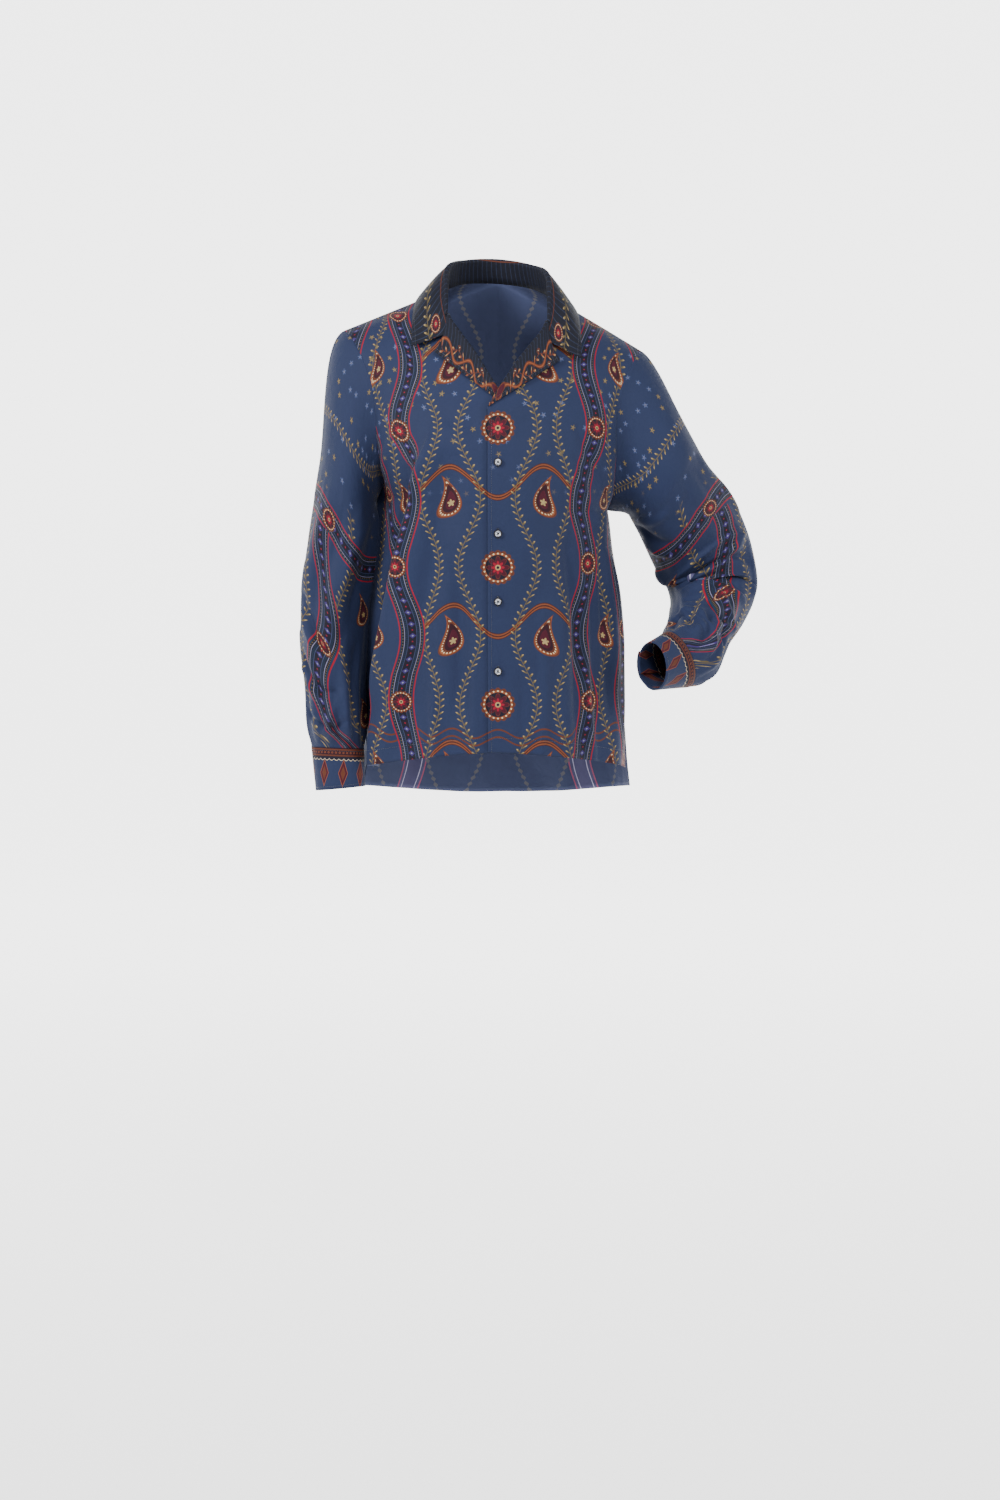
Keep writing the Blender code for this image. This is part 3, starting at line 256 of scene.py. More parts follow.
SLEEVE_RIGHT_CREASES = (
    Crease(((4, -0.10), (0, 0.20), (0, 0.55), (4, 1.00)), 0.016, 0.020, 0.0066),
    Crease(((356, -0.10), (360, 0.20), (360, 0.45)), 0.020, 0.020, 0.0040),
    Crease(((88, 0.12), (96, 0.30), (102, 0.50)), 0.008, 0.010, -0.0043),
    Crease(((122, 0.05), (134, 0.24), (141, 0.42)), 0.010, 0.012, 0.0046),
    Crease(((40, 0.10), (58, 0.24), (70, 0.40)), 0.007, 0.009, 0.0038),
    Crease(((28, 0.28), (50, 0.42), (66, 0.60)), 0.008, 0.008, -0.0041),
    Crease(((150, 0.40), (132, 0.50), (104, 0.62), (82, 0.66)), 0.005, 0.006, -0.0057),
    Crease(((152, 0.46), (138, 0.54), (116, 0.65)), 0.005, 0.006, 0.0043),
    Crease(((160, 0.62), (140, 0.70), (112, 0.78), (78, 0.79)), 0.005, 0.006, -0.0059),
    Crease(((162, 0.68), (136, 0.76), (108, 0.84)), 0.005, 0.006, 0.0046),
    Crease(((164, 0.84), (132, 0.89), (98, 0.92), (58, 0.89)), 0.004, 0.005, -0.0051),
    Crease(((70, 0.78), (90, 0.87), (120, 0.96)), 0.006, 0.006, 0.0041),
    Crease(((52, 0.70), (62, 0.84), (58, 0.97)), 0.006, 0.006, 0.0035),
    Crease(((36, 0.60), (46, 0.76), (38, 0.92)), 0.006, 0.006, -0.0038),
    Crease(((170, 0.10), (176, 0.34), (170, 0.56)), 0.010, 0.008, -0.0038),
    Crease(((202, 0.08), (212, 0.28), (216, 0.50)), 0.009, 0.010, 0.0041),
    Crease(((228, 0.58), (240, 0.78), (252, 0.96)), 0.007, 0.007, -0.0051),
    Crease(((262, 0.40), (280, 0.52), (304, 0.58)), 0.006, 0.007, 0.0046),
    Crease(((258, 0.50), (282, 0.60), (310, 0.66)), 0.006, 0.006, -0.0049),
    Crease(((300, 0.70), (294, 0.84), (288, 0.97)), 0.006, 0.007, 0.0038),
    Crease(((330, 0.16), (322, 0.40), (334, 0.62)), 0.008, 0.007, -0.0038),
    Crease(((346, 0.56), (338, 0.74), (350, 0.92)), 0.006, 0.007, 0.0038),
)
SLEEVE_LEFT_CREASES = (
    Crease(((24, 0.45), (40, 0.39), (62, 0.34), (84, 0.31), (118, 0.31), (160, 0.36)), 0.005, 0.006, 0.0053),
    Crease(((22, 0.50), (48, 0.45), (74, 0.39), (112, 0.38), (160, 0.44)), 0.005, 0.005, -0.0089),
    Crease(((30, 0.56), (58, 0.50), (88, 0.455), (125, 0.48), (168, 0.54)), 0.005, 0.005, 0.0053),
    Crease(((28, 0.62), (56, 0.57), (94, 0.54), (134, 0.60)), 0.004, 0.005, -0.0041),
    Crease(((10, 0.30), (16, 0.36), (20, 0.44)), 0.010, 0.010, 0.0060),
    Crease(((40, 0.66), (74, 0.66), (112, 0.70), (150, 0.80)), 0.005, 0.006, 0.0041),
    Crease(((34, 0.74), (62, 0.72), (100, 0.78), (140, 0.88)), 0.004, 0.005, -0.0048),
    Crease(((10, 0.95), (18, 0.84), (48, 0.87), (84, 0.94)), 0.004, 0.004, -0.0048),
    Crease(((14, 0.82), (46, 0.80), (88, 0.87), (112, 0.95)), 0.004, 0.004, 0.0036),
    Crease(((158, 0.70), (172, 0.82), (176, 0.95)), 0.005, 0.006, -0.0041),
    Crease(((8, 0.03), (26, 0.10), (54, 0.17)), 0.006, 0.006, -0.0053),
    Crease(((4, 0.12), (30, 0.19), (66, 0.24)), 0.006, 0.007, 0.0041),
    Crease(((20, 0.01), (44, 0.05), (74, 0.06)), 0.005, 0.006, 0.0041),
    Crease(((96, 0.06), (108, 0.16), (132, 0.26)), 0.009, 0.009, -0.0029),
    Crease(((150, 0.02), (156, 0.16), (172, 0.30)), 0.010, 0.010, 0.0031),
    Crease(((196, 0.30), (232, 0.36), (292, 0.35)), 0.006, 0.006, -0.0053),
    Crease(((204, 0.44), (250, 0.49), (318, 0.47)), 0.006, 0.006, 0.0043),
    Crease(((210, 0.52), (262, 0.58), (322, 0.54)), 0.005, 0.006, -0.0043),
    Crease(((232, 0.62), (266, 0.72), (300, 0.86)), 0.006, 0.006, -0.0036),
    Crease(((202, 0.66), (232, 0.78), (252, 0.94)), 0.006, 0.006, 0.0036),
    Crease(((224, 0.06), (244, 0.16), (282, 0.24)), 0.008, 0.008, 0.0036),
    Crease(((330, 0.66), (322, 0.80), (334, 0.94)), 0.005, 0.006, -0.0036),
)

# How many places of a crease's path are read for each of its points
CREASE_STEPS = 3

# Slight waves all over: how many go round, how fast they turn with the height, where they start, and
# their share of the whole ripple
Wave = namedtuple("Wave", "count rate start share")
RIPPLES = (
    Wave(4, 11.0, 0.4, 0.30),
    Wave(7, -19.0, 1.9, 0.26),
    Wave(11, 31.0, 3.1, 0.20),
    Wave(17, -44.0, 5.0, 0.14),
    Wave(2, 58.0, 2.2, 0.16),
    Wave(26, 25.0, 0.9, 0.08),
)
RIPPLE_WANDER = 1.3
TRUNK_RIPPLE, SLEEVE_RIPPLE = 0.0024, 0.0018
# Round from the centre front, in radians, where the cloth is held by the buttons and where it is free
HELD_TURN, FREE_TURN = 0.10, 0.30

# The sleeve is gathered into the cuff: how many gathers, how high they are and how soon they fade upward
GATHERS, GATHER_RISE, GATHER_FADE = 11, 0.0022, 7
# How much straighter the top of the cap leaves the shoulder, and how much it turns down with the arm
CAP_FLATNESS, CAP_TURN = 0.45, 0.01

# How far a button's holes are from its middle, how high its hollow face is, as a share of its thickness,
# and the radius of the painted shade, a dark spot in the well between the holes
BUTTON_HOLE_PITCH, BUTTON_FACE, BUTTON_WELL_SHADE = 0.0014, 0.62, 0.0012


def ramp(value, start, end):
    """0 before start, 1 after end and smooth between them."""
    t = np.clip((value - start) / (end - start), 0.0, 1.0)
    return t * t * (3.0 - 2.0 * t)


def unit(vectors):
    """The same directions with a length of 1."""
    length = np.linalg.norm(vectors, axis=-1, keepdims=True)
    return vectors / np.maximum(length, 1e-12)


def stations(rows, fine=FINE):
    """Positions along a table: whole numbers are its rows, with fine steps for each that a row says."""
    places = [i + k / (count * fine) for i, count in enumerate(rows[:-1]) for k in range(count * fine)]
    return np.array(places + [len(rows) - 1.0])


def blend(t, start, leave, end, arrive):
    """A smooth run from start, which it leaves one way, to end, where it arrives another way."""
    return ((2 * t**3 - 3 * t**2 + 1) * start + (t**3 - 2 * t**2 + t) * leave
            + (3 * t**2 - 2 * t**3) * end + (t**3 - t**2) * arrive)


def smooth(points, at, corners=()):
    """A curve through points, read at places counted in points. It bends sharply only at corners."""
    points = np.asarray(points, float)
    if points.ndim == 1:
        return smooth(points[:, None], at, corners)[:, 0]
    step = np.maximum(np.linalg.norm(np.diff(points, axis=0), axis=1), 1e-6)[:, None]
    slope = np.diff(points, axis=0) / step
    arrive = np.vstack([slope[:1], slope])
    leave = np.vstack([slope, slope[-1:]])
    for i in range(1, len(points) - 1):
        if i not in corners:
            mean = (slope[i - 1] * step[i] + slope[i] * step[i - 1]) / (step[i - 1] + step[i])
            arrive[i] = mean
            leave[i] = mean
    i = np.clip(np.floor(at).astype(int), 0, len(points) - 2)
    t = (np.asarray(at) - i)[:, None]
    return blend(t, points[i], step[i] * leave[i], points[i + 1], step[i] * arrive[i + 1])


def fold_rise(around, along, folds, radius):
    """Height of the folds at points given by distance around and distance along."""
    rise = np.zeros(np.broadcast(around, along).shape)
    for fold in folds:
        start = np.array([math.radians(fold.from_turn) * radius, fold.from_height])
        end = np.array([math.radians(fold.to_turn) * radius, fold.to_height])
        length = np.linalg.norm(end - start)
        run = (end - start) / length
        a, b = around - start[0], along - start[1]
        t = (a * run[0] + b * run[1]) / length
        off = a * -run[1] + b * run[0] - fold.bow * np.sin(np.pi * np.clip(t, 0, 1))
        side = off * np.sign(-run[1])
        width = np.where(side > 0, fold.left_width, fold.right_width)
        ends = np.sqrt(np.clip(4 * t * (1 - t), 0, 1))
        rise += fold.rise * ends * np.exp(-(off / width) ** 2)
    return rise


def crease_rise(around, along, creases, radius, unit_length=1.0):
    """Height of the finer folds, which fade out towards both their ends."""
    around, along = np.broadcast_arrays(around, along)
    rise = np.zeros(around.shape)
    for crease in creases:
        path = np.array(crease.path, float) * [math.radians(1.0) * radius, unit_length]
        path = smooth(path, np.linspace(0, len(path) - 1, CREASE_STEPS * len(path)))
        nearest = np.full(around.shape, np.inf)
        off, share = np.zeros(around.shape), np.zeros(around.shape)
        for k, (start, end) in enumerate(zip(path[:-1], path[1:])):
            run = end - start
            a, b = around - start[0], along - start[1]
            t = np.clip((a * run[0] + b * run[1]) / (run @ run), 0, 1)
            far = np.hypot(a - t * run[0], b - t * run[1])
            nearer = far < nearest
            nearest = np.where(nearer, far, nearest)
            side = np.sign(b * run[0] - a * run[1]) * (-1 if run[1] > 0 else 1)
            off = np.where(nearer, far * side, off)
            share = np.where(nearer, (k + t) / (len(path) - 1), share)
        width = np.where(off > 0, crease.left_width, crease.right_width)
        ends = np.sqrt(np.clip(4 * share * (1 - share), 0, 1))
        rise += crease.rise * ends * np.exp(-(off / width) ** 2)
    return rise


def all_round(height, turn, along, folds, radius, *unit_length):
    """The given kind of height, also of folds that begin or end a whole turn away."""
    return sum(height((turn + shift) * radius, along, folds, radius, *unit_length)
               for shift in (-2 * np.pi, 0, 2 * np.pi))


def ripple(turn, along, size):
    """The slight unevenness of cloth that hangs loose."""
    rise = 0.0
    for wave in RIPPLES:
        wander = RIPPLE_WANDER * np.sin(2 * turn + 9.0 * along + wave.start * 3)
        rise = rise + wave.share * np.sin(wave.count * turn + wave.rate * along + wave.start + wander)
    return rise * size


def fold_trunk(points):
    """Moves points of the trunk outward by its folds, the same for every piece that has the point."""
    x, y, z = points[..., 0], points[..., 1], points[..., 2]
    turn = np.arctan2(x / TRUNK_HALF_WIDTH, -y / TRUNK_HALF_DEPTH)
    rise = all_round(fold_rise, turn, z, TRUNK_FOLDS, FOLD_GIRTH_RADIUS)
    fine = ripple(turn, z, TRUNK_RIPPLE) + all_round(crease_rise, turn, z, TRUNK_CREASES, FOLD_GIRTH_RADIUS)
    rise += fine * ramp(np.abs(turn), HELD_TURN, FREE_TURN)
    outward = unit(np.stack([x / TRUNK_HALF_WIDTH**2, y / TRUNK_HALF_DEPTH**2, np.zeros(x.shape)], -1))
    return points + outward * rise[..., None]


def tilt(points):
    """The raised arm's shoulder is lower and drawn in; both fade out down the body."""
    points = points.copy()
    x, z = points[..., 0], points[..., 2]
    shift = SHOULDER_SHIFT * (x / SHOULDER_X)**2 * ramp(z, SHIFT_FROM, SHIFT_FULL)
    points[..., 2] -= SHOULDER_TILT * x * ramp(z, TILT_FROM, TILT_FULL)
    points[..., 0] -= shift
    return points


def column(table, *names):
    """The named columns of a table, side by side."""
    return np.array([[getattr(row, name) for name in names] for row in table])


def table_rows(table):
    """Into how many rows of cells each stretch of a table is split."""
    return [row.rows for row in table]


def panel(table, at, across, inner):
    """Rows of a panel: Bezier curves from the inner to the outer edge, as round as the section says."""
    outer = smooth(column(table, "out_x", "out_y", "out_z"), at, corners=(VENT_TOP, ARMPIT))
    q = smooth(column(table, "roundness")[:, 0], at)[:, None]
    third = np.full_like(q, 1 / 3)
    span = outer - inner
    first = inner + span * np.hstack([1 / 3 + INNER_FULLNESS * q, (1 - q) / 3, third])
    second = outer - span * np.hstack([(1 - q) / 3, 1 / 3 + OUTER_FULLNESS * q, third])
    t = np.asarray(across)[None, :, None]
    inner, first, second, outer = (edge[:, None, :] for edge in (inner, first, second, outer))
    return (1 - t)**3 * inner + 3 * (1 - t)**2 * t * first + 3 * (1 - t) * t**2 * second + t**3 * outer


def level_middle(points, across, dip):
    """Bends a hem so that it is level at the body's middle. It fades out up the body."""
    t = np.asarray(across)[None]
    points[..., 2] += dip * t * (1 - t)**2 * (1 - ramp(points[..., 2], *HEM_BEND))
    return points


def front_surface(side, at, across):
    """The front on the given side, +1 for the wearer's left, whose edge lies over the other."""
    inner = smooth(column(FRONT, "in_x", "in_y", "in_z"), at, corners=(BREAK,))
    points = level_middle(panel(FRONT, at, across, inner), across, FRONT_HEM_DIP)
    x, z = points[..., 0], points[..., 2]
    if side > 0:
        lift = LAP_LIFT_LOW + LAP_LIFT_HIGH * ramp(z, LAP_LIFT_FROM, LAP_LIFT_TO)
        points[..., 1] -= lift * (1 - ramp(x, LAP_FADE_FROM, LAP_FADE_TO))
    else:
        points[..., 1] += UNDER_LAP_SINK * (1 - ramp(x, -FRONT_LAP, FRONT_LAP))
    points[..., 0] *= side
    return tilt(fold_trunk(points))


def back_surface(side, at, across):
    """Half of the back. Above the neck's centre its inner edge follows the neck round to the shoulder."""
    edge = column(BACK, "in_x", "in_y", "in_z")
    neck = edge[NECK_BACK:]
    whole_neck = np.vstack([neck[:0:-1] * [-1, 1, 1], neck])
    centre = smooth(edge[:NECK_BACK + 1], np.minimum(at, NECK_BACK))
    around = smooth(whole_neck, np.maximum(at - NECK_BACK, 0) + len(neck) - 1)
    inner = np.where((at <= NECK_BACK)[:, None], centre, around)
    points = level_middle(panel(BACK, at, across, inner), across, BACK_HEM_DIP)
    points[..., 0] *= side
    return tilt(fold_trunk(points))


def lay_on(points, cloth, lift):
    """Puts points in front of the cloth by lift, at their own x and z."""
    flat = cloth.reshape(-1, 3)
    away = ((points[..., None, 0] - flat[:, 0])**2 + (points[..., None, 2] - flat[:, 2])**2)
    weight = np.exp(-(away - away.min(-1, keepdims=True)) / LAY_REACH**2)
    points = points.copy()
    points[..., 1] = (weight * flat[:, 1]).sum(-1) / weight.sum(-1) - lift
    return points


def keep_clear(points, cloth, normals, clearance):
    """Moves points out until they are the clearance off the nearest cloth."""
    flat, out = cloth.reshape(-1, 3), normals.reshape(-1, 3)
    away = np.linalg.norm(points[..., None, :] - flat, axis=-1)
    weight = np.exp(-(away**2 - away.min(-1, keepdims=True)**2) / CLEAR_REACH**2)[..., None]
    near = (weight * flat).sum(-2) / weight.sum(-2)
    normal = unit((weight * out).sum(-2))
    height = ((points - near) * normal).sum(-1)
    short = np.maximum(clearance - height, 0)
    return points + normal * short[..., None]


def grid_normals(grid, outward_like):
    """Normals of a grid, turned to the side of the given outward directions."""
    normal = unit(np.cross(np.gradient(grid, axis=0), np.gradient(grid, axis=1)))
    return normal * np.sign((normal * outward_like).sum(-1, keepdims=True))


def rolled_part(start, fold, out, up):
    """Columns straight from start to the fold and over half a roll, whose radius out and up have."""
    columns = [start + (fold - start) * k / STRAIGHT_CELLS for k in range(STRAIGHT_CELLS)]
    for turn in math.pi * np.arange(ROLL_CELLS + 1) / ROLL_CELLS:
        columns.append(fold + out * (1 - math.cos(turn)) + up * math.sin(turn))
    return columns


def turned_part(start, middle, end):
    """Columns of a curve from start through middle to end, without the start."""
    shares = [k / TURNED_CELLS for k in range(1, TURNED_CELLS + 1)]
    return [start * (1 - s) * (1 - 2 * s) + middle * 4 * s * (1 - s) + end * s * (2 * s - 1)
            for s in shares]


def lapel_surface(side, at):
    """The turned lapel: short base, roll and turned part, from the break up to the seam with the collar."""
    edge = front_surface(side, at, [0.0, EDGE_STEP])
    base, into = edge[:, 0], unit(edge[:, 1] - edge[:, 0])
    roll = unit(np.gradient(base, axis=0))
    away = -unit(into - roll * (into * roll).sum(-1, keepdims=True))
    out = np.cross(roll, away)
    out *= -np.sign(out[:, 1:2])
    t = ((at - BREAK) / (ROLL_TOP - BREAK))[:, None]
    radius = ROLL_RADIUS_LOW + (ROLL_RADIUS_HIGH - ROLL_RADIUS_LOW) * t
    radius *= np.minimum(t * LAPEL_ROLL_GROWTH, 1)
    columns = rolled_part(base, base + away * ROLL_BASE * t, radius * out, radius * away)
    cloth = front_surface(side, np.linspace(ARMPIT + 1, FRONT_END, LAY_ROWS), np.linspace(0, 1, LAY_COLUMNS))
    start = columns[-1]
    marks = ((FRONT[BREAK].in_x, FRONT[BREAK].in_z), LAPEL_CORNER, LAPEL_NOTCH)
    first, corner, notch = (np.array([side * x, 0, z]) for x, z in marks)
    end = tilt(first + (corner - first) * t)
    bend = tilt(notch) - (start[-1] + end[-1]) / 2
    middle = (start + end) / 2 + bend * t**2
    lift = LAPEL_LIFT_LOW + (LAPEL_LIFT_HIGH - LAPEL_LIFT_LOW) * t[:, 0]
    end = lay_on(end, cloth, lift)
    middle = lay_on(middle, cloth, lift)
    end[0] = base[0]
    middle[0] = base[0]
    columns += turned_part(start, middle, end)
    return np.stack(columns, axis=1)


def whole_collar(*names):
    """A column of the collar's table, mirrored to run from the wearer's right lapel to the left one."""
    half = column(COLLAR, *names)
    mirrored = half * np.array([-1, 1, 1])[:len(names)]
    return np.vstack([mirrored, half[-2::-1]])


def collar_surface(at, seam, body, normals, right_end, left_end):
    """The collar from one lapel round the neck to the other. Its ends are the lapels' top edges."""
    fold = tilt(smooth(whole_collar("fold_x", "fold_y", "fold_z"), at))
    middle = tilt(smooth(whole_collar("mid_x", "mid_y", "mid_z"), at))
    edge = tilt(smooth(whole_collar("edge_x", "edge_y", "edge_z"), at))
    out = np.pad(smooth(whole_collar("out_x", "out_y"), at), ((0, 0), (0, 1)))
    up = unit(fold - seam)
    out = unit(out - up * (out * up).sum(-1, keepdims=True))
    columns = rolled_part(seam, fold, FOLD_RADIUS * out, FOLD_RADIUS * up)
    columns += turned_part(columns[-1], middle, edge)
    grid = np.stack(columns, axis=1)
    turned = STRAIGHT_CELLS + ROLL_CELLS
    for row in grid:
        row[turned + 1:] = keep_clear(row[turned + 1:], body, normals, COLLAR_CLEAR)
    notch = turned + TURNED_CELLS // 2
    for row, lapel in ((0, right_end), (-1, left_end)):
        share = np.linspace(0, 1, TURNED_CELLS // 2 + 1)[:, None]
        grid[row, notch:] = lapel[notch] * (1 - share) + grid[row, -1] * share
        grid[row, :notch] = lapel[:notch]
    return grid


def sleeve_ring(side, rings, at):
    """Centres and half axes of a sleeve's rings: the long one outward and the other to its front."""
    outer_x, outer_z, inner_x, inner_z, centre_y, half_depth = smooth(
        column(rings, "outer_x", "outer_z", "inner_x", "inner_z", "centre_y", "half_depth"), at).T
    flat = np.zeros(len(at))
    outer = np.stack([outer_x, flat, outer_z], -1)
    inner = np.stack([inner_x, flat, inner_z], -1)
    centre = (outer + inner) / 2 + np.stack([flat, centre_y, flat], -1)
    half = (outer - inner) / 2
    axis = unit(np.gradient(centre, axis=0))
    front = side * unit(np.cross(axis, half)) * half_depth[:, None]
    return centre, half, front, axis


def ring_places(rings):
    """Where the sleeve's rings are along its table, and then the cuff's end."""
    return np.append(stations(table_rows(rings)[:-1], SLEEVE_FINE), len(rings) - 1.0)


def loop_turns(loop):
    """How far round each point of the armhole is: 0 at the armpit and pi at the shoulder."""
    step = np.linalg.norm(np.diff(np.vstack([loop, loop[:1]]), axis=0), axis=1)
    far = np.append(0, np.cumsum(step))
    top = len(loop) // 2
    turn = np.where(far < far[top], far / far[top], 1 + (far - far[top]) / (far[-1] - far[top]))
    return turn[:-1] * np.pi


def sleeve_surface(side, rings, folds, creases, loop, leave):
    """A sleeve from its armhole loop to the cuff: a cap of smooth runs and then rings of the table."""
    turn = loop_turns(loop)
    centre, half, front, axis = (part[:-1] for part in sleeve_ring(side, rings, ring_places(rings)))
    outward = -half[:, None] * np.cos(turn)[None, :, None] + front[:, None] * np.sin(turn)[None, :, None]
    length = np.append(0, np.cumsum(np.linalg.norm(np.diff(centre, axis=0), axis=1)))
    share = length / length[-1]
    radius = np.linalg.norm(outward, axis=-1).mean()
    around, down = turn[None], length[:, None]
    rise = all_round(fold_rise, around, share[:, None], folds, radius)
    rise *= (ramp(share, 0, SLEEVE_FOLDS_FULL) * (1 - ramp(share, SLEEVE_FOLDS_FADE, 1)))[:, None]
    fine = ripple(around, down, SLEEVE_RIPPLE)
    fine += all_round(crease_rise, around, down, creases, radius, length[-1])
    rise += fine * (ramp(share, 0, SLEEVE_CREASES_FULL) * (1 - ramp(share, SLEEVE_CREASES_FADE, 1)))[:, None]
    peak = GATHER_FADE / (GATHER_FADE + 1)
    swell = (1 - share) * share**GATHER_FADE / ((1 - peak) * peak**GATHER_FADE)
    gather = GATHER_RISE * np.cos(GATHERS * turn)[None] * swell[:, None]
    tube = centre[:, None] + outward + unit(outward) * (rise + gather)[..., None]
    first = tube[0]
    reach = np.linalg.norm(first - loop, axis=-1, keepdims=True)
    top = (np.sin(turn / 2)**2)[:, None]
    start = unit(leave * top + unit(first - loop) * (1 - top)) * reach * (1 - CAP_FLATNESS * top)
    end = unit(tube[SLEEVE_FINE] - first + axis[0] * CAP_TURN) * reach
    cap = [blend(k / CAP_CELLS, loop, start, first, end) for k in range(CAP_CELLS)]
    return np.vstack([cap, tube])


def cuff_surface(side, rings):
    """A cuff: a band once round and past itself by the lap, which is on the hidden side."""
    centre, half, front, axis = sleeve_ring(side, rings, ring_places(rings))
    girth = 2 * math.pi * math.sqrt((half[-1] @ half[-1] + front[-1] @ front[-1]) / 2)
    lap = 2 * math.pi * CUFF_LAP / girth
    turn = math.radians(CUFF_START) + np.linspace(0, 2 * math.pi + lap, CUFF_CELLS + 1)
    over = ramp(turn - turn[0], 2 * math.pi - lap * CUFF_LAP_SLOPE, 2 * math.pi) * CUFF_LAP_LIFT
    grid = []
    for k in range(CUFF_ROWS + 1):
        t = k / CUFF_ROWS
        middle, long_axis, front_axis = (a[-2] * (1 - t) + a[-1] * t for a in (centre, half, front))
        out = -long_axis * np.cos(turn)[:, None] + front_axis * np.sin(turn)[:, None]
        grid.append(middle + out + unit(out) * over[:, None])
    return np.array(grid)


# The shown cloth is thinner than its solid and lies on the same middle surface
SHOWN_CLOTH = 0.0008
SHOWN_CUFF = 0.0014
# The wearer's sides, and which of a sheet's finishes faces a lapel, the collar and a cuff
NAMES = {1: "left", -1: "right"}
FACING = 2
# Height that the print counts from, and the back's section above which it keeps its distance from the
# centre. A sleeve's print counts down from the shoulder, which slopes by CAP_SLOPE of its height, and
# its places are evened out PLACE_SOFTNESS times.
HEM_LEVEL = -0.64
BACK_SPREAD = 7
CAP_SLOPE = 0.6
PLACE_SOFTNESS = 60

# Sewing: how far the lines are from the edges, and the thread and its stitches
HEM_DEPTH, VENT_DEPTH, EDGE_STITCH, CUFF_STITCH = 0.020, 0.012, 0.005, 0.004
# A line has no stitches where the cloth is shorter than its inset times this
LINE_ROOM = 1.5
Stitch = namedtuple("Stitch", "pitch length")
STITCH = Stitch(0.0030, 0.0023)
THREAD_RADIUS = 0.00024
STITCH_RINGS, STITCH_SIDES = 5, 5
BEAD_TAPER, BEAD_RISE, BEAD_DIP = 0.93, 0.5, 0.9
# The thread of a buttonhole and of a button, as shares of the common one, half the gap between a button's
# two threads, how far its stalks reach behind it, and up to which share of its thickness
HOLE_FINE, BUTTON_THICKER, THREADS_APART, STALK, STALK_TOP = 0.8, 1.2, 0.00022, 0.0006, 0.9
# How many buttons are on the front, and in how many columns of its cloth the buttonholes lie
FRONT_BUTTONS, HOLE_COLUMNS = 4, 12
# A buttonhole: half its height and width, the pitch of its stitches, their width, and how much wider its
# bars are
HOLE_HALF, HOLE_HALF_WIDTH, HOLE_PITCH, HOLE_THREAD, BAR = 0.0068, 0.0009, 0.0006, 0.0013, 2.4


def walk(grid, axis):
    """How far along the cloth each point of a grid is, counted along one axis from its first row."""
    step = np.linalg.norm(np.diff(grid, axis=axis), axis=-1)
    start = np.zeros_like(np.take(step, [0], axis=axis))
    return np.concatenate([start, np.cumsum(step, axis=axis)], axis=axis)


def solid(name, points, faces, *finishes):
    """A smooth mesh object with its finishes."""
    mesh = bpy.data.meshes.new(name)
    mesh.from_pydata([tuple(p) for p in points], [], faces)
    mesh.polygons.foreach_set("use_smooth", [True] * len(mesh.polygons))
    for finish in finishes:
        mesh.materials.append(finish)
    thing = bpy.data.objects.new(name, mesh)
    bpy.context.scene.collection.objects.link(thing)
    return thing


class Cloth:
    """A sheet of cloth in the making: grids of points joined where they meet, with their flat places."""

    def __init__(self, name):
        self.name = name
        self.points, self.places, self.faces, self.skins, self.known = [], [], [], [], {}

    def index(self, point, flat, joined):
        """The number of a point, which a joined grid shares with what it meets."""
        key = tuple(np.round(point, 6) + 0.0)
        if joined and key in self.known:
            return self.known[key]
        self.known[key] = len(self.points)
        self.points.append(point)
        self.places.append(flat)
        return self.known[key]

    def add(self, grid, flat, flip=False, joined=True, skin=0):
        """Adds the cells of a grid of points, with their places on the cut."""
        ids = [[self.index(p, f, joined) for p, f in zip(*rows)] for rows in zip(grid, flat)]
        for upper, lower in zip(ids[1:], ids[:-1]):
            for k in range(len(lower) - 1):
                face = [lower[k], lower[k + 1], upper[k + 1], upper[k]]
                face = [v for i, v in enumerate(face) if v != face[i - 1]]
                if len(face) > 2:
                    self.faces.append(face[::-1] if flip else face)
                    self.skins.append(skin)

    def piece(self, outside, inside, facing, thickness):
        """The sheet as an object: a wall with its finish outside, inside and on faced parts."""
        thing = solid(self.name, self.points, self.faces, outside, inside, facing, facing)
        place = thing.data.attributes.new("cloth_place", "FLOAT_VECTOR", "POINT")
        place.data.foreach_set("vector", np.array(self.places, np.float32).ravel())
        thing.data.polygons.foreach_set("material_index", self.skins)
        wall = thing.modifiers.new("wall", "SOLIDIFY")
        wall.thickness, wall.offset, wall.material_offset = thickness, 0.0, 1
        return thing


def dress(thing, node):
    """Hangs a sheet of cloth from the root and hides the solid that it stands for."""
    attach(thing, "root")
    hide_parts(node)


def turned_outward(grid, like):
    """Whether a grid's cells have to be flipped to face the way of the given direction."""
    a, b, c = grid[0, 0], grid[0, 1], grid[1, 0]
    return np.cross(b - a, c - a) @ like < 0


def panel_places(grid, side, row):
    """Place on the cut: distance from the centre line and height above a level, along the cloth.

    Above the given row the distance from the centre line goes by the row's own.
    """
    u = side * grid[:, :1, 0] + walk(grid, 1)
    reach = side * grid[..., 0]
    u[row:] = np.interp(reach[row:], reach[row], u[row])
    far = reach[row:] > reach[row, -1]
    u[row:][far] += (reach[row:] - reach[row, -1])[far]
    v = grid[:1, :, 2] - HEM_LEVEL + walk(grid[..., 1:], 0)
    return np.stack([side * u, v, np.zeros_like(u)], -1)


def softened(values, times):
    """Rows of values evened out with their neighbours."""
    for _ in range(times):
        values = np.pad(values, ((1, 1), (0, 0)), "reflect", reflect_type="odd")
        values = (values[:-2] + 2 * values[1:-1] + values[2:]) / 4
    return values


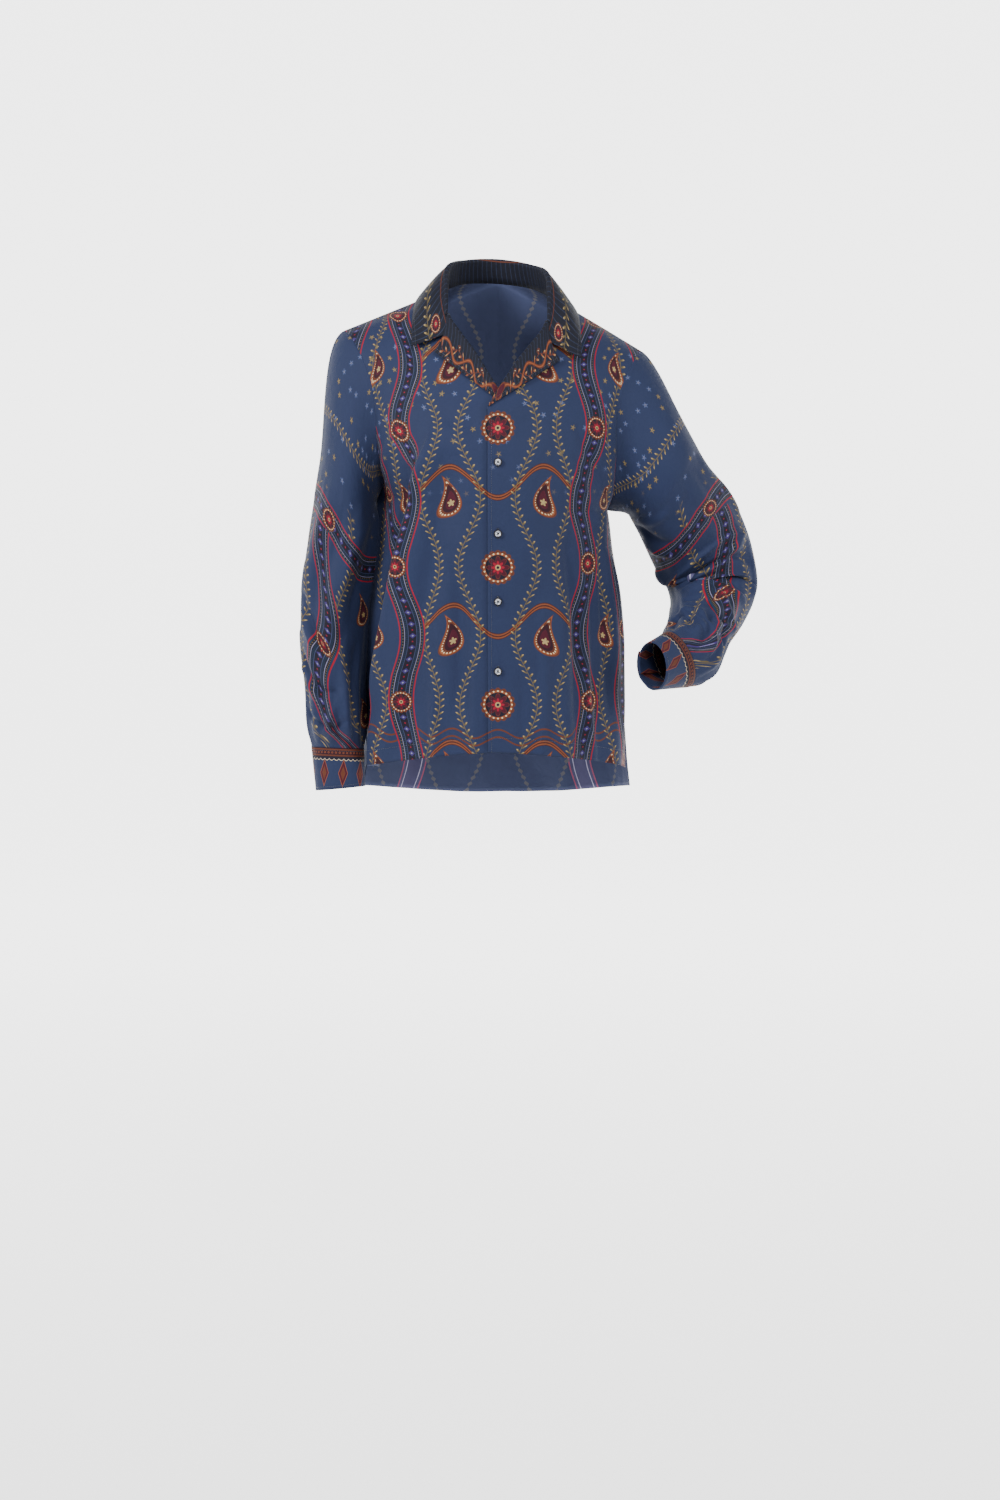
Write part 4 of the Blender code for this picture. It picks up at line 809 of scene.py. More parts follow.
def sleeve_places(grid, turn):
    """Place on the cut of a sleeve: distance round from its outer side, and down from the shoulder.

    Both follow the sleeve's bend but not each fold.
    """
    girth = softened(walk(grid, 1)[:, -1:], PLACE_SOFTNESS)
    waves = np.stack([np.ones_like(turn), np.cos(turn), np.sin(turn)])
    down = softened(walk(grid, 0) @ np.linalg.pinv(waves) @ waves, PLACE_SOFTNESS)
    down += CAP_SLOPE * (grid[:1, :, 2].max() - grid[:1, :, 2])
    return np.stack([(turn / (2 * np.pi) - 0.5) * girth, -down, np.zeros_like(down)], -1)


def round_body(grid):
    """The outward way from the trunk's middle at each point of a grid."""
    return grid * [1 / TRUNK_HALF_WIDTH**2, 1 / TRUNK_HALF_DEPTH**2, 0.0]


def line_in(grid, like, axis, inset, last=False):
    """A line on a grid, inset from its first row or column or from its last, and its outward ways."""
    normals = grid_normals(grid, like)
    if axis:
        grid, normals = np.swapaxes(grid, 0, 1), np.swapaxes(normals, 0, 1)
    if last:
        grid, normals = grid[::-1], normals[::-1]
    far = walk(grid, 0)
    columns = [k for k in range(grid.shape[1]) if far[-1, k] > inset * LINE_ROOM]
    read = [[[np.interp(inset, far[:, k], value[:, k, i]) for i in range(3)] for k in columns]
            for value in (grid, normals)]
    return np.array(read[0]), unit(np.array(read[1])), STITCH


def hem_and_vent(grid, vent):
    """The stitched lines along a hem and up the vent, which has the given number of rows."""
    around = round_body(grid)
    return [line_in(grid, around, 0, HEM_DEPTH),
            line_in(grid[:vent], around[:vent], 1, VENT_DEPTH, last=True)]


def buttonholes(cloth):
    """Close short stitches round the upright slot behind each front button."""
    lines = []
    for number in range(1, FRONT_BUTTONS + 1):
        low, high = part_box("button_%d" % number)
        x, z = (low[0] + high[0]) / 2, (low[2] + high[2]) / 2
        marks = [(x + side * HOLE_HALF_WIDTH, z + up, HOLE_THREAD) for side in (-1, 1)
                 for up in np.arange(-HOLE_HALF, HOLE_HALF, HOLE_PITCH)]
        marks += [(x, z + side * HOLE_HALF, HOLE_THREAD * BAR) for side in (-1, 1)]
        for px, pz, size in marks:
            ends = [[px - size / 2, 0.0, pz], [px + size / 2, 0.0, pz]]
            points = lay_on(np.array(ends), cloth[::3, :HOLE_COLUMNS], SHOWN_CLOTH / 2)
            lines.append((points, np.array([[0.0, -1.0, 0.0]] * 2), None))
    return lines


def bead(points, faces, start, end, out, radius):
    """Adds a stitch: a thread that comes out of the cloth at one point and goes in at the other."""
    run = end - start
    across = unit(np.cross(run, out)) * radius
    up = unit(out) * radius
    first = len(points)
    for k in range(STITCH_RINGS):
        t = 2 * k / (STITCH_RINGS - 1) - 1
        fat = math.sqrt(1 - (BEAD_TAPER * t)**2)
        middle = start + run * (t + 1) / 2 + up * (BEAD_RISE - BEAD_DIP * t * t)
        for turn in np.arange(STITCH_SIDES) * 2 * math.pi / STITCH_SIDES:
            points.append(middle + fat * (across * math.cos(turn) + up * math.sin(turn)))
    for k in range(STITCH_RINGS - 1):
        for s in range(STITCH_SIDES):
            a, b = first + k * STITCH_SIDES + s, first + k * STITCH_SIDES + (s + 1) % STITCH_SIDES
            faces.append((a, b, b + STITCH_SIDES, a + STITCH_SIDES))
    faces.append(tuple(first + s for s in reversed(range(STITCH_SIDES))))
    faces.append(tuple(first + (STITCH_RINGS - 1) * STITCH_SIDES + s for s in range(STITCH_SIDES)))


def sew(name, lines, made, thickness):
    """The stitches along lines of a piece, as one mesh. A line without a stitch length is one stitch."""
    points, faces = [], []
    for line, out, stitch in lines:
        line = line + out * thickness / 2
        if stitch is None:
            bead(points, faces, line[0], line[-1], out[0], THREAD_RADIUS * HOLE_FINE)
            continue
        far = walk(line[:, None], 0)[:, 0]
        for middle in np.arange(stitch.pitch / 2, far[-1] - stitch.pitch / 2, stitch.pitch):
            ends = [[np.interp(middle + half, far, line[:, i]) for i in range(3)]
                    for half in (-stitch.length / 2, stitch.length / 2)]
            way = np.array([np.interp(middle, far, out[:, i]) for i in range(3)])
            bead(points, faces, np.array(ends[0]), np.array(ends[1]), way, THREAD_RADIUS)
    return solid(name, points, faces, made)


def build_cloth():
    """The sheets of all the cloth pieces and the lines that are sewn on them, both by piece."""
    front_at, back_at = stations(table_rows(FRONT)), stations(table_rows(BACK))
    across_front, across_back = np.linspace(0, 1, ACROSS_FRONT + 1), np.linspace(0, 1, ACROSS_BACK + 1)
    lapel_at = front_at[(front_at >= BREAK) & (front_at <= ROLL_TOP)]
    facing = np.array([0, -1.0, 0])
    fronts, backs, lapels, pieces, seams = {}, {}, {}, {}, {}
    for side in (1, -1):
        fronts[side] = front_surface(side, front_at, across_front)
        backs[side] = back_surface(side, back_at, across_back)
        lapels[side] = lapel_surface(side, lapel_at)
        cloth = Cloth("blouse_front_" + NAMES[side])
        flat = panel_places(fronts[side], side, np.argmax(front_at >= BREAK))
        flip = turned_outward(fronts[side], facing)
        cloth.add(fronts[side], flat, flip)
        lapel = lapels[side][:, ::-1]
        out = walk(lapels[side], 1)[:, ::-1]
        up = walk(lapels[side], 0)[:, :1]
        lapel_flat = np.stack([np.broadcast_to(up, out.shape) - 0.5, out, np.ones_like(out)], -1)
        cloth.add(lapel, lapel_flat, flip, skin=FACING)
        pieces["front_" + NAMES[side]] = cloth
        vent = np.argmax(front_at >= VENT_TOP) + 1
        seams["front_" + NAMES[side]] = hem_and_vent(fronts[side], vent)
        seams["front_" + NAMES[side]].append(line_in(lapels[side], facing, 1, EDGE_STITCH, last=True))
        if side > 0:
            below = fronts[side][front_at < BREAK]
            seams["front_left"].append(line_in(below, facing, 1, EDGE_STITCH))
            seams["front_left"] += buttonholes(below)
    cloth = Cloth("blouse_back")
    seams["back"] = []
    for side in (1, -1):
        flat = panel_places(backs[side], side, np.argmax(back_at >= BACK_SPREAD))
        cloth.add(backs[side], flat, turned_outward(backs[side], -facing))
        vent = np.argmax(back_at >= VENT_TOP) + 1
        seams["back"] += hem_and_vent(backs[side], vent)
    pieces["back"] = cloth

    neck_front = front_at >= ROLL_TOP
    neck_back = back_at >= NECK_BACK
    halves = {}
    for side in (1, -1):
        halves[side] = np.vstack([fronts[side][neck_front, 0], backs[side][neck_back, 0][-2::-1]])
    seam = np.vstack([halves[-1], halves[1][-2::-1]])
    collar_at = stations(table_rows(COLLAR))
    collar_at = np.append(collar_at, 2 * collar_at[-1] - collar_at[-2::-1])
    fine = np.linspace(0, 1, BODY_COLUMNS)
    body, normals = [], []
    for side in (1, -1):
        for surface, end, way in ((front_surface, FRONT_END, -1.0), (back_surface, BACK_END, 1.0)):
            grid = surface(side, np.linspace(ARMPIT + 1, end, BODY_ROWS), fine)
            body.append(grid.reshape(-1, 3))
            normals.append(grid_normals(grid, np.array([0.0, way, 0.4])).reshape(-1, 3))
    body, normals = np.vstack(body), np.vstack(normals)
    grid = collar_surface(collar_at, seam, body, normals, lapels[-1][-1], lapels[1][-1])
    along = walk(grid, 0)[:, :1]
    flat = np.stack([np.broadcast_to(along - along[-1] / 2, grid.shape[:2]), walk(grid, 1),
                     np.ones(grid.shape[:2])], -1)
    cloth = Cloth("blouse_collar")
    cloth.add(grid, flat, turned_outward(grid, np.array([-0.2, -1.0, 0])), skin=FACING)
    pieces["collar"] = cloth
    seams["collar"] = [line_in(grid, grid * [1, 1, 0] + [0, 0, 0.05], 1, EDGE_STITCH, last=True)]

    tables = {1: (SLEEVE_LEFT, SLEEVE_LEFT_FOLDS, SLEEVE_LEFT_CREASES),
              -1: (SLEEVE_RIGHT, SLEEVE_RIGHT_FOLDS, SLEEVE_RIGHT_CREASES)}
    for side in (1, -1):
        rear = backs[side][back_at >= ARMPIT, -2:]
        outer = np.vstack([fronts[side][front_at >= ARMPIT, -2:], rear[-2:0:-1]])
        loop, leave = outer[:, 1], unit(outer[:, 1] - outer[:, 0])
        rings, folds, creases = tables[side]
        grid = sleeve_surface(side, rings, folds, creases, loop, leave)
        grid = np.concatenate([grid, grid[:, :1]], axis=1)
        cloth = Cloth("blouse_sleeve_" + NAMES[side])
        cloth.add(grid, sleeve_places(grid, np.append(loop_turns(loop), 2 * np.pi)), side > 0, joined=False)
        pieces["sleeve_" + NAMES[side]] = cloth
        cuff = cuff_surface(side, rings)
        around = walk(cuff, 1)
        cloth = Cloth("blouse_cuff_" + NAMES[side])
        cloth.add(cuff, np.stack([around, walk(cuff, 0), np.ones_like(around)], -1), side > 0, joined=False,
                  skin=FACING)
        pieces["cuff_" + NAMES[side]] = cloth
        outward = cuff - cuff.mean(1, keepdims=True)
        seams["cuff_" + NAMES[side]] = [line_in(cuff, outward, 0, CUFF_STITCH),
                                        line_in(cuff, outward, 0, CUFF_STITCH, last=True)]
    return pieces, seams


def material(name, colour, roughness):
    """A material of one colour, and its shader."""
    made = bpy.data.materials.new(name)
    made.use_nodes = True
    shader = made.node_tree.nodes["Principled BSDF"]
    shader.inputs["Base Color"].default_value = (*colour, 1.0)
    shader.inputs["Roughness"].default_value = roughness
    return made, shader


# How high the cloth's small crumples and its threads stand, and a thread's width
CRUMPLE, WEAVE_RISE, THREAD_STEP = 0.0009, 0.00006, 0.0006
# How uneven its dye is, how much its threads differ in tone, and its roughness with what clouds add to it
DYE, THREAD_TONE, ROUGH, ROUGH_SPREAD = 0.24, 0.04, 0.62, 0.16
# Its shine and soft sheen
SPECULAR, SHEEN, SHEEN_ROUGH = 0.17, 0.04, 0.45
# The print's flowers repeat up the body, midway between every second pair of buttons
FLOWER_LEVEL, REPEAT = 0.285, 0.1835
# Light that the floor gives of its own: where the object stands, and how much more at the back
FLOOR_GLOW = (2.0, 1.4)


def paint(*screen_values):
    """A colour given as the eye reads it on a screen, in the parts of light that a shader takes."""
    shares = [value / 255 for value in screen_values]
    return tuple(c / 12.92 if c <= 0.04045 else ((c + 0.055) / 1.055)**2.4 for c in shares)


GROUND = paint(27, 36, 63)
BAND_GROUND = paint(17, 14, 28)
COLLAR_GROUND = paint(15, 17, 28)
PINSTRIPE = paint(50, 60, 88)
CRIMSON = paint(124, 14, 34)
BURGUNDY = paint(58, 10, 26)
RUST = paint(78, 38, 24)
ORANGE = paint(116, 62, 36)
CREAM = paint(188, 170, 136)
OLIVE = paint(84, 72, 46)
SAND = paint(140, 120, 80)
LILAC = paint(106, 106, 132)
VIOLET = paint(48, 38, 88)
PLUM = paint(36, 8, 20)
DIM_BLUE = paint(52, 64, 96)
TEAL = paint(16, 38, 60)
WRONG_SIDE = paint(58, 65, 94)
WRONG_BAND = paint(74, 72, 104)
WRONG_RED = paint(150, 74, 100)
WRONG_PALE = paint(176, 172, 200)
WRONG_LEAF = paint(88, 88, 96)
THREAD_COLOUR = paint(13, 18, 34)
# The button's dark rim, and the painted shade in the well between its holes
RIM_AND_WELL_SHADE = paint(26, 22, 28)


class Field:
    """A number that a material's nodes work out. It is added, multiplied and compared as numbers are."""

    def __init__(self, socket):
        self.tree, self.socket = socket.id_data, socket

    def do(self, operation, *others):
        """The result of an operation on this number and the others."""
        node = self.tree.nodes.new("ShaderNodeMath")
        node.operation = operation
        for k, value in enumerate((self, *others)):
            if isinstance(value, Field):
                self.tree.links.new(value.socket, node.inputs[k])
            else:
                node.inputs[k].default_value = value
        return Field(node.outputs[0])

    __add__ = partialmethod(do, "ADD")
    __sub__ = partialmethod(do, "SUBTRACT")
    __mul__ = partialmethod(do, "MULTIPLY")
    __truediv__ = partialmethod(do, "DIVIDE")
    __abs__ = partialmethod(do, "ABSOLUTE")
    sin = partialmethod(do, "SINE")
    cos = partialmethod(do, "COSINE")
    floor = partialmethod(do, "FLOOR")
    angle_over = partialmethod(do, "ARCTAN2")
    least = partialmethod(do, "MINIMUM")
    most = partialmethod(do, "MAXIMUM")

    def wrap(self, period):
        """The number moved by whole periods to lie within half a period of 0."""
        return self.do("WRAP", period / 2, -period / 2)

    def inside(self, soft=0.0004):
        """1 where the number is below 0 and 0 where it is above, with a soft edge."""
        node = self.do("MULTIPLY_ADD", -1.0 / soft, 0.5)
        node.socket.node.use_clamp = True
        return node


def length(x, y):
    """The distance from where both numbers are 0."""
    return (x * x + y * y).do("SQRT")


def laid_over(tree, under, over, mask):
    """A colour with another one over it where the mask is 1. The one under it can come from a node."""
    mix = tree.nodes.new("ShaderNodeMix")
    mix.data_type = "RGBA"
    if isinstance(under, tuple):
        mix.inputs[6].default_value = (*under, 1.0)
    else:
        tree.links.new(under, mix.inputs[6])
    mix.inputs[7].default_value = (*over, 1.0)
    tree.links.new(mask.socket, mix.inputs[0])
    return mix.outputs[2]


def noise(place, **settings):
    """A cloudy number between 0 and 1 that goes by the given place."""
    tree = place.id_data
    node = tree.nodes.new("ShaderNodeTexNoise")
    for name, value in settings.items():
        node.inputs[name].default_value = value
    tree.links.new(place, node.inputs["Vector"])
    return Field(node.outputs[0])


def tone_colour(shader, colour, tone):
    """Gives the shader a colour that is darker or lighter by the tone."""
    tree = tone.tree
    scaled = tree.nodes.new("ShaderNodeVectorMath")
    scaled.operation = "SCALE"
    if isinstance(colour, tuple):
        scaled.inputs[0].default_value = colour
    else:
        tree.links.new(colour, scaled.inputs[0])
    tree.links.new(tone.socket, scaled.inputs["Scale"])
    tree.links.new(scaled.outputs[0], shader.inputs["Base Color"])


class Print:
    """A cloth's finish: layers of colour laid over each other by the cloth's own flat places."""

    def __init__(self, name, ground):
        self.made, self.shader = material(name, ground, 0.7)
        self.tree = self.made.node_tree
        attribute = self.tree.nodes.new("ShaderNodeAttribute")
        attribute.attribute_name = "cloth_place"
        split = self.tree.nodes.new("ShaderNodeSeparateXYZ")
        self.tree.links.new(attribute.outputs["Vector"], split.inputs[0])
        self.place = attribute.outputs["Vector"]
        self.u, self.v = Field(split.outputs[0]), Field(split.outputs[1])
        self.colour = ground

    def lay(self, colour, mask):
        """Lays a colour over what is there where the mask is 1."""
        self.colour = laid_over(self.tree, self.colour, colour, mask)

    def lay_all(self, layers, where=None):
        """Lays each colour inside its shape, and only where the given mask is 1."""
        for colour, shape in layers:
            mask = shape.inside()
            self.lay(colour, mask if where is None else mask * where)


def vine(design, off, along, pitch=0.0088, where=None, colours=(OLIVE, SAND, OLIVE)):
    """A leafy vine: off is the distance from its stem and along the way along it."""
    side = (off * 4000.0).do("TANH")
    step = (along + side * (pitch / 4)).wrap(pitch)
    reach = abs(off)
    lean = step - reach * 0.7
    leaf = length(lean / 0.0016, (reach - 0.0038) / 0.0030) * 0.0016 - 0.0016
    vein = length(lean / 0.0008, (reach - 0.0050) / 0.0014) * 0.0008 - 0.0008
    stem = reach - 0.0005
    design.lay_all(zip(colours, (leaf, vein, stem)), where)


def border(design, off, along, where=None):
    """A striped border with a row of small diamonds and dots in it."""
    reach = abs(off)
    step = abs(along.wrap(0.016))
    slant = step + reach * 0.8
    dots = length(step - 0.008, reach) - 0.0010
    ladder = (abs(reach - 0.0078) - 0.0012).most(abs(along.wrap(0.0026)) - 0.0006)
    beads = length(along.wrap(0.004), reach - 0.0127) - 0.0008
    layers = ((BAND_GROUND, reach - 0.0172), (TEAL, abs(reach - 0.0145) - 0.0008),
              (CRIMSON, abs(reach - 0.0166) - 0.0009), (LILAC, abs(reach - 0.0105) - 0.0004),
              (DIM_BLUE, abs(reach - 0.0056) - 0.0003), (TEAL, ladder), (OLIVE, beads),
              (VIOLET, slant - 0.0038), (LILAC, slant - 0.0013), (CRIMSON, dots))
    design.lay_all(layers, where)


def rosette(design, x, y, size, where=None):
    """A round flower of eight petals in a beaded ring."""
    far = length(x, y)
    turn = y.angle_over(x)
    eight, sixteen = abs((turn * 4.0).cos()), abs((turn * 8.0).cos())
    ring = abs(far - size * 0.98) - size * 0.08
    scallop = far - size * 1.12 - sixteen * size * 0.14
    petals = far - (eight * 0.40 + 0.46) * size
    edging = abs(petals + size * 0.05) - size * 0.025
    inner = far - (eight * 0.26 + 0.22) * size
    bead_step = (turn * (10.0 / math.pi)).wrap(1.0) * (math.pi / 10.0) * size
    beads = length(bead_step, far - size) - size * 0.06
    layers = ((RUST, scallop), (BAND_GROUND, far - size * 1.08), (ORANGE, ring), (CREAM, beads),
              (BURGUNDY, petals), (RUST, edging), (CRIMSON, inner), (SAND, far - size * 0.2),
              (BAND_GROUND, far - size * 0.1))
    design.lay_all(layers, where)


def teardrop(design, x, y, size, where=None):
    """A paisley: a drop whose tip bends over, with a beaded edge and a small flower."""
    bent = x - y * y * (0.55 / size)
    width = (y * (-0.62 / size) + 0.62).most(0.12)
    body, core, inner = (length(bent / width, y * 0.75 + size * drop) - size * half
                         for drop, half in ((0.0, 0.62), (0.05, 0.40), (0.09, 0.27)))
    low = y + size * 0.22
    turn = low.angle_over(bent)
    flower = length(bent, low) - (abs((turn * 2.5).cos()) * 0.09 + 0.06) * size
    edge = abs(body + size * 0.07) - size * 0.03
    hooks = abs(core + size * -0.075) - size * 0.02
    beads = hooks.most(abs((turn * (12.0 / math.pi)).wrap(1.0)) - 0.24)
    layers = ((RUST, body), (ORANGE, edge), (CREAM, beads), (PLUM, core), (BURGUNDY, inner), (SAND, flower))
    design.lay_all(layers, where)


def sprigs(design, u, v, pitch, where):
    """Small scattered flowers of five petals, one in some of the cells of a grid."""
    cell = design.tree.nodes.new("ShaderNodeTexWhiteNoise")
    cell.noise_dimensions = "2D"
    join = design.tree.nodes.new("ShaderNodeCombineXYZ")
    row = (v / pitch).floor()
    shifted = u + row * 0.5 * pitch
    design.tree.links.new((shifted / pitch).floor().socket, join.inputs[0])
    design.tree.links.new(row.socket, join.inputs[1])
    design.tree.links.new(join.outputs[0], cell.inputs["Vector"])
    chance = Field(cell.outputs["Value"])
    x = (shifted - 0.5 * pitch).wrap(pitch) + (chance - 0.5) * pitch * 0.3
    y = (v - 0.5 * pitch).wrap(pitch)
    turn = y.angle_over(x) + chance * 6.0
    far = length(x, y)
    five = abs((turn * 2.5).cos())
    petals = far - (five * 0.0030 + 0.0012)
    leaves = far - (five * 0.0040 + 0.0002)
    for low, high, colour, middle in ((0.0, 0.15, DIM_BLUE, LILAC), (0.15, 0.32, OLIVE, SAND)):
        some = (chance - high).inside(0.001) * (chance * -1.0 + low).inside(0.001) * where
        design.lay(colour, leaves.inside() * some)
        design.lay(middle, (petals + 0.0022).inside() * some)
        design.lay(BAND_GROUND, (far - 0.0006).inside() * some)


def finish_cloth(design):
    """Weave, uneven dye, light crumpling and soft sheen of the cloth."""
    tree, shader = design.tree, design.shader
    cloud = noise(design.place, Scale=9.0, Detail=6.0)
    weave = (design.u * (math.pi / THREAD_STEP)).sin() * (design.v * (math.pi / THREAD_STEP)).sin()
    tone_colour(shader, design.colour, cloud * DYE + (1 - DYE / 2) + weave * THREAD_TONE)
    tree.links.new((cloud * ROUGH_SPREAD + ROUGH).socket, shader.inputs["Roughness"])
    crumple = noise(design.place, Scale=46.0, Detail=4.0, Distortion=0.8)
    height = crumple * CRUMPLE + weave * WEAVE_RISE
    bump = tree.nodes.new("ShaderNodeBump")
    bump.inputs["Strength"].default_value = 1.0
    bump.inputs["Distance"].default_value = 1.0
    tree.links.new(height.socket, bump.inputs["Height"])
    tree.links.new(bump.outputs[0], shader.inputs["Normal"])
    shader.inputs["Sheen Weight"].default_value = SHEEN
    shader.inputs["Sheen Roughness"].default_value = SHEEN_ROUGH
    shader.inputs["Specular IOR Level"].default_value = SPECULAR
    return design.made


# The body's vines and borders: distance from the centre, how far they sway, how much higher they are
BODY_VINES = ((0.038, 0.015, 0.0), (0.092, -0.012, 0.004), (0.172, -0.012, 0.0), (0.240, 0.008, 0.0))
BODY_BORDERS = ((0.130, 0.010), (0.212, -0.008))


def body_print():
    """The print of the fronts and the back: on each side vines and a border, flowers, drops and swags."""
    design = Print("cloth_body_print", GROUND)
    u, v = abs(design.u), design.v
    sprigs(design, design.u, v, 0.017, (v - 0.42).inside(0.12) * -1.0 + 1.0)
    step = (v - FLOWER_LEVEL).wrap(REPEAT)
    sway = (step * (2 * math.pi / REPEAT)).cos()
    half_way = (v - FLOWER_LEVEL - 0.5 * REPEAT).wrap(REPEAT)
    droop = (u * (2 * math.pi / 0.124)).cos() * 0.020 + half_way - 0.02
    between = (u - 0.124).inside(0.002)
    strands = ((PLUM, 0.0, 0.0040), (RUST, 0.0, 0.0034), (ORANGE, 0.0018, 0.0005), (PLUM, 0.0, 0.0004))
    for colour, reach, half in strands:
        design.lay(colour, (abs(abs(droop) - reach) - half).inside() * between)
    for low in (0.052, 0.062):
        wave = v - low - (u * (2 * math.pi / 0.062)).cos() * 0.006
        design.lay(RUST, (abs(wave) - 0.0012).inside())
    for reach, way, raised in BODY_VINES:
        vine(design, u - reach - sway * way, v + raised)
    for reach, way in BODY_BORDERS:
        border(design, u - reach - sway * way, v)
    for reach, level, size in ((0.0, step, 0.0185), (0.140, step, 0.0125), (0.220, half_way, 0.0115)):
        rosette(design, u - reach, level, size)
    for reach, size in ((0.062, 0.034), (0.172, 0.028)):
        teardrop(design, u - reach, half_way, size)
    return finish_cloth(design)


def sleeve_print():
    """The print of the sleeves: borders across, vines down and teardrops, plainer near the shoulder."""
    design = Print("cloth_sleeve_print", GROUND)
    u, v = abs(design.u), design.v
    low = (v + 0.20).inside(0.01)
    sprigs(design, design.u, v, 0.015, low * -1.0 + 1.0)
    sway = (v * (2 * math.pi / 0.20)).sin()
    vine(design, v + 0.118 - (u * 26.0).cos() * 0.008, u)
    vine(design, u - 0.030 - sway * 0.012, v, where=low)
    vine(design, u - 0.105 + sway * 0.012, v, where=low)
    border(design, v + 0.235 - (u * 22.0).cos() * 0.010, design.u)
    border(design, u - 0.068 - sway * 0.014, v, where=(v + 0.25).inside(0.001))
    teardrop(design, design.u, (v + 0.33).wrap(0.14), 0.030, where=low)
    teardrop(design, u * -1.0 + 0.150, (v + 0.30).wrap(0.14), 0.026, where=low)
    rosette(design, u - 0.068, (v + 0.235).wrap(0.16), 0.0105, where=low)
    return finish_cloth(design)


def collar_print():
    """Thin wavering stripes, a vine along the collar's edge, and scrolls on the lapels."""
    design = Print("cloth_collar_print", COLLAR_GROUND)
    u, v = design.u, design.v
    waver = (v * 120.0).sin() * 0.0006 + (u * 47.0).sin() * 0.0008
    stripe = abs((u + v * 0.12 + waver).wrap(0.0074)) - 0.00018
    design.lay(PINSTRIPE, stripe.inside(0.0003))
    collar = (u * -1.0 - 0.3).inside(0.001)
    lapel = collar * -1.0 + 1.0
    vine(design, v - 0.060 - (u * 40.0).cos() * 0.003, u, where=collar)
    design.lay(RUST, (abs(v - 0.036 + (u * 36.0).cos() * 0.005) - 0.0008).inside() * collar)
    corner = abs(u) - 0.19
    for reach, size in ((0.0, 0.010), (0.026, 0.007)):
        rosette(design, corner + reach, v - 0.058 + reach * 0.3, size, where=collar)
    up = u + 0.5
    middle = up * 0.27 + 0.009
    wave = (up * 118.0).sin()
    for colour, half in ((RUST, 0.0028), (ORANGE, 0.0010)):
        design.lay(colour, (abs(v - middle - wave * 0.0085) - half).inside() * lapel)
    vine(design, v - middle + wave * 0.0080, up, 0.0115, lapel, (ORANGE, SAND, RUST))
    for reach, start in ((-0.0105, 0.0133), (0.0105, 0.0266)):
        curl = length((up - start).wrap(0.0532), v - middle - reach * 1.25) - 0.0032
        design.lay_all(((RUST, curl), (PLUM, curl + 0.0012), (CREAM, curl + 0.0024)), lapel)
    petal = length((up - 0.030) / 2.2, v - 0.0095) - 0.0052
    design.lay_all(((BURGUNDY, petal), (RUST, abs(petal) - 0.0006)), lapel)
    return finish_cloth(design)


def cuff_print():
    """A border along the cuff's seam and a row of pointed petals under it."""
    design = Print("cloth_cuff_print", GROUND)
    u, v = design.u, design.v
    step = u.wrap(0.026)
    petal = abs(step) * 1.6 + abs(v - 0.034) * 0.55 - 0.0105
    beads = length(u.wrap(0.0050), v - 0.0062) - 0.0013
    scallop = v - 0.0135 - abs((u * (math.pi / 0.0065)).sin()) * 0.0022
    layers = ((ORANGE, petal), (BURGUNDY, petal + 0.0012), (RUST, petal + 0.0050), (BAND_GROUND, scallop),
              (PLUM, v - 0.0115), (RUST, abs(v - 0.0102) - 0.0010), (ORANGE, beads),
              (PLUM, beads + 0.0006), (RUST, abs(v - 0.0022) - 0.0010),
              (CREAM, abs(scallop - 0.0010) - 0.00035))
    design.lay_all(layers)
    return finish_cloth(design)


def button_place(node):
    """The middle of a button, two ways across it and its outward way, read from its solid."""
    points = np.array([node.matrix_world @ v.co for v in node.data.vertices])
    middle = (points.min(0) + points.max(0)) / 2
    out = np.linalg.svd(points - points.mean(0), full_matrices=False)[2][2]
    side = np.sign(node_side(node, middle) @ out)
    turned = np.array(Vector(out * side).to_track_quat("Z", "Y").to_matrix())
    return middle, turned[:, 0], turned[:, 1], turned[:, 2]


def node_side(node, middle):
    """Roughly the way a button faces: forward, or away from its own cuff's middle."""
    if "cuff" not in node.name:
        return np.array([0.0, -1.0, 0.0])
    low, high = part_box("cuff_" + node.name.split("_")[-1])
    return middle - (np.array(low) + np.array(high)) / 2


def button_thread(name, place, made):
    """Two bars of doubled thread across the button's face, between its four holes, and its stalks."""
    middle, right, up, out = place
    reach = BUTTON_HOLE_PITCH / math.sqrt(2)
    face = middle + out * BUTTON_THICK * (BUTTON_FACE - 0.5)
    points, faces = [], []
    for height in (-reach, reach):
        for shift in (-THREADS_APART, THREADS_APART):
            row = face + up * (height + shift)
            ends = row - right * reach, row + right * reach
            bead(points, faces, *ends, out, THREAD_RADIUS * BUTTON_THICKER)
    back = middle - out * BUTTON_THICK * 0.5
    for x in (-reach, reach):
        for y in (-reach, reach):
            root = back + right * x + up * y
            tip = root + out * BUTTON_THICK * STALK_TOP
            bead(points, faces, root - out * STALK, tip, right, THREAD_RADIUS)
    return solid(name, points, faces, made)


def object_place(made):
    """The socket that gives a material the place on its object."""
    return made.node_tree.nodes.new("ShaderNodeTexCoord").outputs["Object"]


# The pearl's tones from its dark clouds to its light ones, with where each stands between 0 and 1
PEARL = ((0.38, paint(64, 66, 84)), (0.5, paint(160, 166, 178)), (0.62, paint(226, 222, 214)))
# Share of the radius where the button's dark rim begins, and how soft its edges are
RIM_SHARE, RIM_SOFT = 0.71, 0.0003


